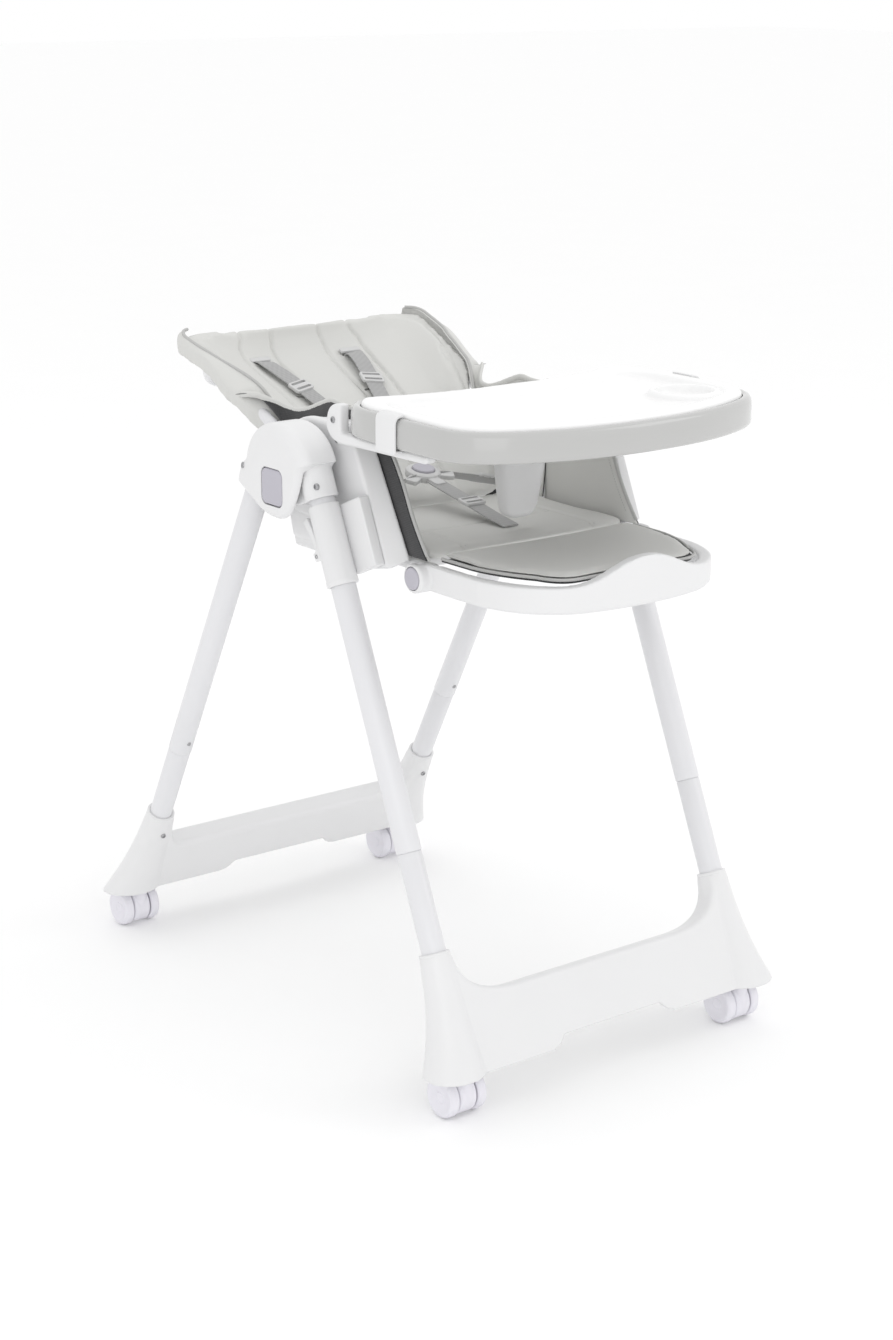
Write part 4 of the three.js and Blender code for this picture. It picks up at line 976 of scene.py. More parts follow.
# ---- Legs, feet and casters ------------------------------------------------------------------


@dataclass
class Leg:
    """A pair of telescopic legs that lean from the hubs to a foot bar.

    Places along them are measured from the hub, and are negative below it.
    """

    name: str
    body: str
    lean: float
    offset: float
    top: float
    seam: float
    foot_top: float
    apart: float = 230
    upper_radius: float = 16
    lower_radius: float = 15.3
    socket: float = 61.6

    def matrix(self, side: int = 1) -> Matrix:
        """Where a leg's own axes stand, its length along Z."""
        turn = Matrix.Rotation(math.radians(self.lean), 4, "X")
        shift = Matrix.Translation((0, self.offset, 0))
        return Matrix.Translation((side * self.apart, HUB_PLAN_Y, HUB_Z)) @ turn @ shift

    def at(self, along: float, side: int = 1) -> Vector:
        """The middle of a leg at a place along it."""
        return self.matrix(side) @ Vector((0, 0, along))

    def along(self, level: float) -> float:
        """The place along the leg that stands at a height."""
        tilt = math.radians(self.lean)
        return (level - HUB_Z - self.offset * math.sin(tilt)) / math.cos(tilt)

    def marker(self, side: int, along: float) -> tuple[Vector, Vector]:
        """A place on the side of a leg towards the other pair, and the way that it faces."""
        place, way = self.matrix(side), math.copysign(1, self.lean)
        facing = Vector((0, -way, 0))
        spot = place @ Vector((0, -way * (self.lower_radius - 0.6), along))
        return spot, place.to_3x3() @ facing

    def tubes(self) -> None:
        """Builds the upper and lower tubes."""
        upper, lower = Shell(), Shell()
        r, s, seam = self.upper_radius, self.lower_radius, self.seam
        for side in SIDES.values():
            place = self.matrix(side)
            upper.turned([
                (0, self.top), (r - 1, self.top), (r, self.top - 1), (r, seam + 1.4), (r - 0.4, seam + 0.4),
                (r - 1.2, seam), (r - 2, seam + 0.6), (r - 2, seam + 14), (0, seam + 14),
            ], place, 56)
            lower.turned([
                (0, seam + 13.6), (s - 1.4, seam + 13.6), (s - 1.4, seam + 0.2), (s - 0.5, seam - 0.6),
                (s, seam - 1.4), (s, self.foot_top - self.socket), (0, self.foot_top - self.socket),
            ], place, 56)
        for part, shell in (("upper", upper), ("lower", lower)):
            shell.piece(f"{self.name}_{part}_tubes", Look.TUBE, self.body,
                        *(f"{self.name}_{part}_tube_{side}" for side in SIDES), angle=50)


@dataclass
class Foot:
    """A foot bar: a collar round each leg that flares down to a caster, joined by a crossbar."""

    leg: Leg
    web_run: float
    collar: float = 19.2
    base_x: float = 241
    base_rx: float = 42
    base_ry: float = 35
    base_shift: float = 3
    bottom: float = 57
    arch: float = 70
    arch_half: float = 80
    arch_run: float = 25
    bar_top: float = 138
    bar_half: float = 17
    wall: float = 6
    waist: float = 0.1

    def _horn(self, side: int) -> Shell:
        """One flared end, narrowed a little at its waist."""
        top = [self.leg.matrix(side) @ Vector((p.x, p.y, self.leg.foot_top)) for p in
               ellipse(self.collar, self.collar, sides=72)]
        middle = self.leg.at(self.leg.along(self.bottom))
        low = on_z(ellipse(self.base_rx, self.base_ry, side * self.base_x, middle.y + self.base_shift, 72),
                   self.bottom)
        centres = [sum(ring, Vector()) / len(ring) for ring in (top, low)]
        rings = []
        for step in range(29):
            t = step / 28 * 1.04
            centre = centres[0].lerp(centres[1], t)
            centre.x -= side * self.waist * 40 * math.sin(math.pi * min(t, 1))
            shrink = 1 - self.waist * math.sin(math.pi * min(t, 1))
            mixed = [a.lerp(b, t) - centres[0].lerp(centres[1], t) for a, b in zip(top, low)]
            rings.append([centre + Vector((p.x * shrink, p.y * shrink, p.z)) for p in mixed])
        return Shell().loft(rings)

    def _bar(self) -> Shell:
        """The crossbar, in the legs' leaning plane, with a sweep up to each collar."""
        leg, web = self.leg, self.leg.apart - self.collar + 2
        top = leg.along(self.bar_top)
        low = leg.along(self.bottom) - 30
        shape = Outline(0, top).line(web - self.web_run, top)
        shape.quad(web - 4, top, web, leg.foot_top - 6, 16).line(leg.apart, leg.foot_top - 6)
        outline = shape.line(leg.apart, low).line(0, low).mirrored()
        return Shell().slab(outline, on_y, -self.bar_half, self.bar_half, 8, 8).moved(self.leg.matrix(0))

    def build(self, trim: Trim) -> None:
        """Builds the foot bar and its screws."""
        leg, reach = self.leg, self.base_x * 1.4
        depth = leg.at(leg.along(self.bottom)).y
        arch, run = self.arch_half, self.arch_half + self.arch_run
        floor = Outline(-reach, -60).line(-reach, self.bottom).line(-run, self.bottom)
        floor.quad(-arch - 8, self.bottom, -arch, self.arch).line(arch, self.arch)
        floor.quad(arch + 8, self.bottom, run, self.bottom)
        ground = Shell().slab(floor.line(reach, self.bottom).line(reach, -60).closed(), on_y, depth - 160,
                              depth + 160)
        inner, roof = self.base_x - self.base_rx - 14, leg.along(self.bar_top) - self.wall - 8
        channel = Shell().slab(rounded(inner * 2, 160, 8, 0, roof - 80), on_y, -self.bar_half + self.wall,
                               self.bar_half - self.wall, 3, 3).moved(leg.matrix(0))
        body = moulded(f"{leg.name}_foot_bar", [self._bar(), self._horn(1), self._horn(-1)],
                       [ground, channel], 2.3, 5)
        lips = Shell()
        for side in SIDES.values():
            r, at = self.collar, leg.foot_top
            lips.turned([(15.6, at - 3), (r - 0.4, at - 3), (r + 0.25, at - 1.4), (r + 0.25, at + 0.3),
                         (r - 0.5, at + 1.2),
                         (16.6, at + 1.3), (15.6, at + 0.6)], leg.matrix(side), 64)
        lips.piece(f"{leg.name}_foot_lips", Look.WHITE, leg.body, angle=50)
        finish(body, Look.WHITE, leg.body, f"{leg.name}_foot")
        screws = []
        for side in SIDES.values():
            point, way = leg.marker(side, leg.foot_top - 30)
            screws.append((point + way * (self.collar - leg.lower_radius + 2.2), way))
        trim.at_points(f"{leg.name}_foot_screws", "head", screws, Look.STEEL, leg.body)


@dataclass
class Caster:
    """A twin-wheel caster whose axle trails behind its stem."""

    radius: float = 26.5
    width: float = 14
    half_gap: float = 14
    trail: float = 16
    hood_radius: float = 25
    hood_half: float = 12.6
    stem: float = 5.4
    top: float = 57
    pedal_half: float = 10
    reach: float = 42

    def build(self, name: str) -> None:
        """Builds one caster at its swivel."""
        pivot = to_plan(JOINTS[f"caster_swivel_{name}"]["pos_m"])
        axle = Matrix.Translation((pivot.x, pivot.y + self.trail, self.radius))
        spin = axle @ Matrix.Rotation(math.pi / 2, 4, "Y")
        self._housing(name, axle)
        self._wheels(name, spin)
        self._pedal(name, axle)

    def _housing(self, name: str, axle: Matrix) -> None:
        """The hood between the wheels, the axle boss, the neck and the stem."""
        hood = Outline(4, -6).line(4, 6).arc(0, 0, self.hood_radius, 88, 238, 30).closed()
        half, neck = self.hood_half, self.top - 0.6 - self.radius
        base = Shell().slab(hood, on_x, -half, half, 3, 3)
        boss = Shell().slab(ellipse(8, 8), on_x, -half - 0.8, half + 0.8, 1, 1)
        up = Matrix.Translation((0, -self.trail, 0))
        collar = Shell().turned([(0, 0), (9.4, 0), (9.4, neck - 4), (11.2, neck - 2.5), (11.2, neck),
                                 (0, neck)], up, 40)
        stem = Shell().turned([(0, neck - 2), (self.stem, neck - 2), (self.stem, neck + 24),
                               (0, neck + 25)], up, 28)
        made = moulded(f"caster_hood_{name}", [base, boss, collar, stem], (), 1.1, 3)
        made.data.transform(Matrix.Translation(axle.translation * MM))
        finish(made, Look.CASTER, f"caster_{name}", f"caster_housing_{name}")

    def _wheels(self, name: str, spin: Matrix) -> None:
        """The two wheels with their treads, dished faces and hub caps, and the axle between them."""
        r, inner, outer = self.radius, self.half_gap, self.half_gap + self.width
        half = [
            (0, outer - 1.6), (6.4, outer - 1.6), (7.2, outer - 1.0), (8.2, outer - 1.9),
            (r - 7, outer - 1.1), (r - 5.2, outer - 0.1), (r - 2.6, outer - 0.5), (r - 0.7, outer - 2.4),
            (r, outer - 4.6), (r, inner + 3.4),
            (r - 0.8, inner + 1.2), (r - 2.6, inner + 0.1), (r - 6, inner + 0.5), (2.9, inner + 0.5),
        ]
        profile = half + [(radius, -height) for radius, height in half[::-1]]
        Shell().turned(profile, spin, 56).piece(f"caster_wheel_pair_{name}", Look.CASTER, f"wheels_{name}",
                                                f"caster_wheels_{name}", angle=28)

    def _pedal(self, name: str, axle: Matrix) -> None:
        """The brake pedal, with ribs for the toe."""
        shape = Outline(5, 12.5).line(12, 12.5).quad(20, 22, self.reach - 12, 24.5).line(self.reach, 26)
        shape.line(self.reach, 29).line(self.reach - 14, 28.6).quad(14, 26, 5, 19)
        body = Shell().slab(shape.closed(), on_x, -self.pedal_half, self.pedal_half, 1, 1, 3)
        for rib in range(3):
            body.slab(ellipse(0.9, 0.9, self.reach - 3 - rib * 3.4, 28.9 - rib * 0.1, 10), on_x, -8, 8, 0.6,
                      0.6, 2)
        body.moved(axle).piece(f"caster_pedal_{name}", Look.CASTER, f"pedal_{name}", f"brake_pedal_{name}",
                               angle=50)


# ---- Hubs and sleeves ------------------------------------------------------------------------


def pierced(obj: bpy.types.Object, *cuts: Shell) -> bpy.types.Object:
    """Takes closed shells away from a finished body, and leaves crisp edges."""
    for cut in cuts:
        combined(obj, "DIFFERENCE", cut.build(f"{obj.name}_tool"))
    return shade(obj, 40)


def on_surface(obj: bpy.types.Object, side: int, y: float, z: float) -> tuple[Vector, Vector]:
    """The outermost place on a body at a spot in side view, and the way that it faces."""
    start = to_metres(Vector((side * 400, y, z)))
    found, place, normal, _ = obj.ray_cast(start, Vector((-side, 0, 0)))
    if not found:
        raise ValueError(f"{obj.name} has nothing at {y}, {z}")
    return to_plan(place), normal.normalized()


@dataclass
class Hub:
    """The folding hub at the top of each pair of legs."""

    front: Leg
    rear: Leg
    inner: float = 211.5
    outer: float = 262
    radius: float = 67
    dome: float = 14
    wall: float = 9.4
    button: float = 45
    button_y: float = -3
    button_z: float = -10
    collar: float = 21
    collar_low: float = -43
    collar_high: float = 18
    disc: float = 34

    def _outline(self) -> Flat:
        """The casing in side view, from its lower front round over the top."""
        shape = Outline(-40, -34).quad(-54, -12, -60, 10).quad(-64, 24, -73, 28, 6).quad(-66, 48, -45, 60)
        shape.cubic((-18, 75), (28, 74), (50, 47), 24).quad(61, 32, 62, 18).line(70, 12).quad(83, -2, 84, -17)
        return even(shape.line(30, -45).quad(-20, -62, -40, -34).closed(), 4)

    def _towards_axis(self, outline: Flat, depth: float) -> Flat:
        """The casing's outline drawn in towards the axis."""
        return [p * (1 - depth / self.radius) for p in outline]

    def build(self, side: str, trim: Trim) -> None:
        """Builds one side's casing, button, collar and screws."""
        sign = SIDES[side]
        flip = Matrix.Translation((0, HUB_PLAN_Y, HUB_Z)) @ Matrix.Diagonal((sign, 1, 1, 1))
        shell = Shell().slab(self._outline(), on_x, self.inner, self.outer, 2, self.dome, 9,
                             self._towards_axis)
        lap = self.inner + 2.2
        room = Shell().slab(ellipse(62, 62, sides=72), on_x, lap, self.outer - self.wall)
        mouth = Outline(0, 0).line(-110, 33).line(-110, -110).line(28, -110).line(28, -30).closed()
        slot = Shell().slab(mouth, on_x, lap, self.outer - self.wall)
        casing = moulded(f"hub_casing_{side}", [shell.moved(flip)], [room.moved(flip), slot.moved(flip)],
                         1.7, 4)
        edge = rounded(self.button + 3, self.button + 3, 10.5, self.button_y, self.button_z, 8)
        well = Shell().slab(edge, on_x, self.outer - 3.6, self.outer + 9).moved(flip)
        finish(pierced(casing, well), Look.WHITE, "rear_frame", f"hinge_casing_{side}")
        socket = Shell().turned([(0, -48), (self.collar, -48), (self.collar, 14), (18, 18), (0, 18)],
                                self.rear.matrix(sign), 64)
        socket.piece(f"hub_socket_{side}", Look.WHITE, "rear_frame")
        # A near-black plate at the well's floor: painted shade in the gap round the fold button.
        floor = Shell().slab(edge, on_x, self.outer - 4.4, self.outer - 3.4).moved(flip)
        floor.piece(f"hub_button_well_{side}", Look.DARK, "rear_frame")
        self._button(side, flip)
        self._collar(side, sign, flip)
        lobe = on_surface(casing, sign, 58, 742)
        trim.at_points(f"hub_screw_rear_{side}", "head", [lobe], Look.STEEL, "rear_frame", 1.15)
        front = (Vector((sign * 250.6, -89, 738)), Vector((sign, 0, 0)))
        trim.at_points(f"hub_screw_front_{side}", "head", [front], Look.STEEL, "front_frame", 1.15)

    def _button(self, side: str, flip: Matrix) -> None:
        """The fold button, its outer edge rounded."""
        outline = rounded(self.button, self.button, 9, self.button_y, self.button_z, 8)
        button = Shell().slab(outline, on_x, self.outer - 8, self.outer + 0.4, 0, 2.2, 6)
        button.moved(flip).piece(f"fold_button_face_{side}", Look.BUTTON, f"fold_press_{side}",
                                 f"fold_button_{side}", angle=60)

    def _collar(self, side: str, sign: int, flip: Matrix) -> None:
        """The front leg's collar and the disc that turns inside the casing."""
        place, r = self.front.matrix(sign), self.collar
        sleeve = Shell().turned([(0, self.collar_low), (r - 0.8, self.collar_low), (r, self.collar_low + 1),
                                 (r, self.collar_high - 5), (r - 4, self.collar_high),
                                 (0, self.collar_high)], place, 64)
        shape = Outline(-32, self.collar_low + 1).line(-21.5, self.collar_low + 1).line(0, 4 - self.disc)
        shape.line(0, self.collar_high - 4).line(-32, self.collar_high - 2)
        web = Shell().slab(shape.closed(), on_x, self.inner + 3.2, 246, 3, 3)
        tilt = Matrix.Rotation(math.radians(self.front.lean), 4, "X")
        web.points = [Vector((p.x, p.y - r if p.y < -30 else p.y, p.z)) for p in web.points]
        disc = Shell().slab(ellipse(self.disc, self.disc, sides=64), on_x, self.inner + 2.6, 246.6)
        parts = [sleeve, web.moved(flip @ tilt), disc.moved(flip)]
        collar = moulded(f"front_collar_{side}", parts, (), 1.7, 3)
        finish(collar, Look.WHITE, "front_frame", f"front_hinge_collar_{side}")
        lip = Shell().turned([(16.2, self.collar_low - 0.2), (r - 1, self.collar_low - 0.4),
                              (r + 0.2, self.collar_low + 0.6),
                              (r + 0.2, self.collar_low + 3.4), (16.2, self.collar_low + 3.6)], place, 64)
        lip.piece(f"front_collar_lip_{side}", Look.WHITE, "front_frame")


@dataclass
class Sleeve:
    """The sleeve that carries the seat down a front leg, with its squeeze lever."""

    leg: Leg
    radius: float = 19.6
    bore: float = 16.3
    top: float = -51
    bottom: float = -152.6
    plate_in: float = 200.3
    plate_thick: float = 14
    lever_half: float = 8

    def build(self, side: str, trim: Trim) -> None:
        """Builds one side's sleeve and lever."""
        sign, r = SIDES[side], self.radius
        place = self.leg.matrix(sign)
        barrel = [(self.bore, self.bottom), (r - 0.6, self.bottom), (r + 0.5, self.bottom + 0.8),
                  (r + 0.5, self.bottom + 7), (r, self.bottom + 8), (r, self.top - 1), (r - 0.8, self.top),
                  (self.bore, self.top)]
        sleeve = Shell().turned(barrel, place, 72)
        sleeve.piece(f"seat_sleeve_{side}", Look.WHITE, "seat", f"height_sleeve_{side}")
        turn = Matrix.Rotation(math.radians(self.leg.lean), 4, "X")
        local = Matrix.Translation((0, HUB_PLAN_Y, HUB_Z)) @ turn
        local = local @ Matrix.Diagonal((sign, 1, 1, 1))
        face = self.plate_in + self.plate_thick
        plate = Shell().slab(rounded(self.leg.offset * -1 + 54.8 - 53.7, self.top - self.bottom - 14, 3,
                                     (self.leg.offset - 108.5) / 2, (self.top + self.bottom) / 2 + 3),
                             on_x, self.plate_in, face, 1, 2)
        plate.moved(local).piece(f"seat_sleeve_plate_{side}", Look.WHITE, "seat")
        y, z = self.leg.offset + r + 6.5, self.top - 58
        root = self.leg.offset + 10
        ear = Outline(root, z - 8).line(y + 4, z - 6).line(y + 6, z + 4).line(root, z + 14)
        ears = Shell()
        for x in (self.leg.apart + self.lever_half + 0.6, self.leg.apart - self.lever_half - 3.1):
            ears.slab(ear.closed(), on_x, x, x + 2.5, 0.6, 0.6, 3)
        ears.moved(local).piece(f"lever_ears_{side}", Look.WHITE, "seat")
        shape = Outline(y, z).arc(y, z, 5, 150, 390, 20)
        shape.points = shape.points[1:]
        shape.quad(y + 5, z + 22, y + 12, z + 36).line(y + 16, z + 48).line(y + 6, z + 50)
        shape.quad(y - 2, z + 30, y - 4.3, z + 2.5)
        lever = Shell().slab(shape.closed(), on_x, self.leg.apart - self.lever_half,
                             self.leg.apart + self.lever_half,
                             1.4, 1.4, 4)
        lever.moved(local).piece(f"height_grip_{side}", Look.WHITE, f"height_grip_{side}",
                                 f"height_lever_{side}", angle=50)
        pin = local @ Vector((self.leg.apart + self.lever_half + 2.6, y, z))
        trim.at_points(f"lever_screw_{side}", "head", [(pin, Vector((sign, 0, 0)))], Look.STEEL, "seat", 0.8)


# ---- Padding ---------------------------------------------------------------------------------


def puffed(obj: bpy.types.Object, cap: float, voxel: float = 5, pressure: float = 4) -> bpy.types.Object:
    """Swells a padded body as its filling would, by cloth simulation.

    Args:
        obj: The body, a little slimmer than the pad.
        cap: How far a point may move, in millimetres.
        voxel: The size of the cloth's cells, in millimetres.
        pressure: How hard the filling pushes.

    Returns:
        The body, remeshed, swollen and subdivided once.
    """
    remeshed(obj, voxel)
    start = [v.co.copy() for v in obj.data.vertices]
    cloth = obj.modifiers.new("fill", "CLOTH")
    cloth.settings.use_pressure, cloth.settings.uniform_pressure_force = True, pressure
    cloth.settings.effector_weights.gravity = 0
    cloth.settings.quality = 5
    cloth.point_cache.frame_start, cloth.point_cache.frame_end = 1, 20
    for step in range(1, 21):
        bpy.context.scene.frame_set(step)
    settle(obj)
    bpy.context.scene.frame_set(1)
    for vertex, home in zip(obj.data.vertices, start):
        shift = vertex.co - home
        if shift.length > cap * MM:
            vertex.co = home + shift.normalized() * cap * MM
    fine = obj.modifiers.new("fine", "SUBSURF")
    fine.levels = fine.render_levels = 1
    settle(obj)
    obj.data.shade_smooth()
    return obj


def part_way(run: Sequence[Vector], share: float) -> Vector:
    """A place on a run of points, at a share of its steps."""
    step = share * (len(run) - 1)
    near = min(int(step), len(run) - 1)
    return run[near].lerp(run[min(near + 1, len(run) - 1)], step - int(step))


def groove(distance: float, width: float) -> float:
    """The depth of a sewn channel at a distance from its seam, from 0 to 1."""
    return math.exp(-((distance / width) ** 2))


# ---- Seat ------------------------------------------------------------------------------------


@dataclass
class Seat:
    """The seat between the side panels: shell, pad, fabric sides, panels and tray arms."""

    panel_in: float = 173
    panel_out: float = 199.7
    arm_in: float = 214
    arm_out: float = 228
    arm_front: float = -283
    arm_top: float = 804.2
    arm_rear: float = -77
    block_front: float = -108
    block_top: float = 839
    pad_half: float = 163
    front: float = -204
    rear: float = 30
    top: float = 666
    wing_in: float = 165.4

    def panel(self, side: str, trim: Trim) -> None:
        """A side panel: a moulded cheek with a bevelled front edge and a raised border."""
        sign = SIDES[side]
        flip = Matrix.Diagonal((sign, 1, 1, 1))
        shape = Outline(-168, 643).line(-97, 787).quad(-108, 806, -92, 812, 12).quad(-50, 806, -10, 806, 12)
        shape.quad(40, 806, 56, 765, 14).quad(66, 720, 37, 634, 14).line(-123, 634)
        outer = shape.closed()
        inner = [Vector((-178, 652)), Vector((-101, 790)), *outer[2:]]
        outer, inner = self._matched(outer, inner)
        body = Shell().loft([on_x(inner, self.panel_in), on_x(inner, self.panel_in + 3),
                             on_x(outer, self.panel_out - 4),
                             on_x(inset(outer, 1.2), self.panel_out - 1.2),
                             on_x(inset(outer, 4), self.panel_out)])
        room = Shell().slab(rounded(214, 300, 6, 93, 750), on_x, self.panel_in - 6, 186.4)
        step = Shell().slab(rounded(300, 14, 3, 40, 641), on_x, self.panel_out - 2.2, self.panel_out + 6)
        cheek = moulded(f"seat_cheek_{side}", [body.moved(flip)], [room.moved(flip), step.moved(flip)], 2.0,
                        3)
        finish(cheek, Look.WHITE, "seat", f"side_panel_{side}")
        spots = [(-62, 786), (-28, 652)]
        places = [(flip @ Vector((self.panel_out + 0.2, y, z)), Vector((sign, 0, 0))) for y, z in spots]
        trim.at_points(f"cheek_screws_{side}", "head", places, Look.STEEL, "seat", 1.1)

    @staticmethod
    def _matched(first: Flat, second: Flat) -> tuple[Flat, Flat]:
        """Two loops of equal count with more points on their straight stretches."""
        made: tuple[Flat, Flat] = ([], [])
        for i in range(len(first)):
            j = (i + 1) % len(first)
            count = max(1, math.ceil((first[j] - first[i]).length / 8))
            for k in range(count):
                made[0].append(first[i].lerp(first[j], k / count))
                made[1].append(second[i].lerp(second[j], k / count))
        return made

    def arm(self, side: str, trim: Trim) -> None:
        """A tray arm: a pivot block with a long bar under the tray."""
        sign = SIDES[side]
        flip = Matrix.Diagonal((sign, 1, 1, 1))
        top, bottom, rear, front = self.arm_top, self.arm_top - 12, self.arm_rear, self.arm_front
        shape = Outline(front, top).quad(front - 3, bottom + 2, front + 10, bottom + 1)
        shape.line(self.block_front - 20, bottom - 1).quad(rear - 6, bottom - 6, rear, top + 6, 14)
        shape.line(rear - 2, self.block_top - 16).quad(rear - 6, self.block_top - 1, rear - 23,
                                                       self.block_top, 14)
        outline = even(shape.line(self.block_front, self.block_top).line(self.block_front, top).closed(), 6)
        arm = Shell().slab(outline, on_x, self.arm_in, self.arm_out, 1.5, 4, 5)
        boss = Shell().slab(ellipse(11, 11, -92, 798), on_x, self.panel_out + 0.3, self.arm_in + 4, 1, 0)
        made = moulded(f"tray_arm_bar_{side}", [arm.moved(flip), boss.moved(flip)], (), 1.3, 4)
        finish(made, Look.WHITE, "seat", f"tray_arm_{side}")
        spot = flip @ Vector((self.arm_out + 0.1, -94, 819))
        trim.at_points(f"tray_arm_screw_{side}", "head", [(spot, Vector((sign, 0, 0)))], Look.STEEL, "seat",
                       1.15)

    def shell(self) -> None:
        """The pan under the pad, ribbed below, with the ears that hold the footrest."""
        half = self.panel_in - 0.6
        pan = Shell().slab(rounded(half * 2, 194, 10, 0, -83), on_z, 639.4, 651.4, 3, 1)
        cuts = [Shell().slab(rounded(54, 170, 6, x, -83), on_z, 630, 646.4, 0, 2)
                for x in (-118, -59, 0, 59, 118)]
        ear = Outline(-200, 636).arc(-200, 636, 14, 95, 300, 24)
        ear.points = ear.points[1:]
        outline = ear.line(-140, 641.4).line(-168, 649.4).closed()
        ears = Shell().slab(outline, on_x, 150, 163, 1.5, 1.5, 3).mirror()
        parts = [pan, ears]
        made = moulded("seat_pan", parts, cuts, 2.2, 2)
        finish(made, Look.WHITE, "seat", "seat_shell")

    def pad(self, trim: Trim) -> None:
        """The seat cushion, with a seam round its middle and a channel on each side."""
        middle = (self.front + self.rear) / 2
        length = self.rear - self.front
        pad = Shell().slab(rounded(self.pad_half * 2 - 6, length - 4, 18, 0, middle, 8), on_z, 654, 663.4,
                           3, 4)
        obj = puffed(pad.build("seat_cushion"), 4)

        def sew(point: Vector, normal: Vector) -> Vector:
            """Presses the channels in and dishes the middle."""
            up = smooth_step(0.1, 0.8, normal.z)
            lines = min(abs(abs(point.x) - 104),
                        abs(point.y - (self.front + 92)) + (200 if abs(point.x) > 104 else 0))
            dish = 1.6 * (1 - (point.x / self.pad_half) ** 2)
            return Vector((0, 0, -up * (2.2 * groove(lines, 2.4) + dish)))

        displaced(obj, sew)
        for vertex in obj.data.vertices:
            vertex.co.z = min(max(vertex.co.z, 652.2 * MM), 666.5 * MM)
        finish(obj, Look.LEATHER, "seat", "seat_pad")
        rows = [[Vector((side * 104 + shift, y, 663.2))
                 for y in range(int(self.front) + 12, int(self.rear) - 8, 6)]
                for side in (-1, 1) for shift in (-3.4, 3.4)]
        trim.stitches("seat_cushion_stitches", rows, "seat")

    def _wing_outline(self) -> Flat:
        """A fabric side of the seat, in side view."""
        shape = Outline(-208, 656).quad(-180, 690, -164, 724, 14).quad(-146, 762, -120, 790, 14)
        shape.quad(-90, 812, -50, 818, 12).line(-22, 820).line(-22, 656)
        return even(shape.closed(), 8)

    def wing(self, side: str, trim: Trim) -> None:
        """A fabric side: coated cloth inside, dark cloth outside, corded along its front edge."""
        sign = SIDES[side]
        flip = Matrix.Diagonal((sign, 1, 1, 1))
        outline = self._wing_outline()
        inner = Shell().slab(outline, on_x, self.wing_in - 0.2, self.wing_in + 3.4, 1.6, 0.4, 4).moved(flip)
        outer = Shell().slab(inset(outline, 0.6), on_x, self.wing_in + 3.5, self.wing_in + 6, 0.4, 0.8,
                             3).moved(flip)
        lining = inner.piece(f"wing_lining_{side}", Look.LEATHER, "seat", angle=60)
        cloth = outer.piece(f"wing_cloth_{side}", Look.CHARCOAL, "seat", f"side_wing_{side}", angle=60)
        run = self._wing_outline()
        edge = [flip @ Vector((self.wing_in + 2.4, p.x - 0.6, p.y + 0.5)) for p in run if p.x < -40
                and p.y > 657]
        trim.piping(f"wing_piping_{side}", [edge], 2.4, Look.PIPING, "seat")
        rows = [flip @ Vector((self.wing_in - 0.3, p.x, p.y)) for p in inset(run, 7) if p.x < -60
                and p.y > 668]
        trim.stitches(f"wing_stitches_{side}", [rows], "seat")

    def build(self, trim: Trim) -> None:
        """Builds the seat."""
        for side in SIDES:
            self.panel(side, trim)
            self.arm(side, trim)
            self.wing(side, trim)
        self.shell()
        self.pad(trim)


# ---- Footrest --------------------------------------------------------------------------------


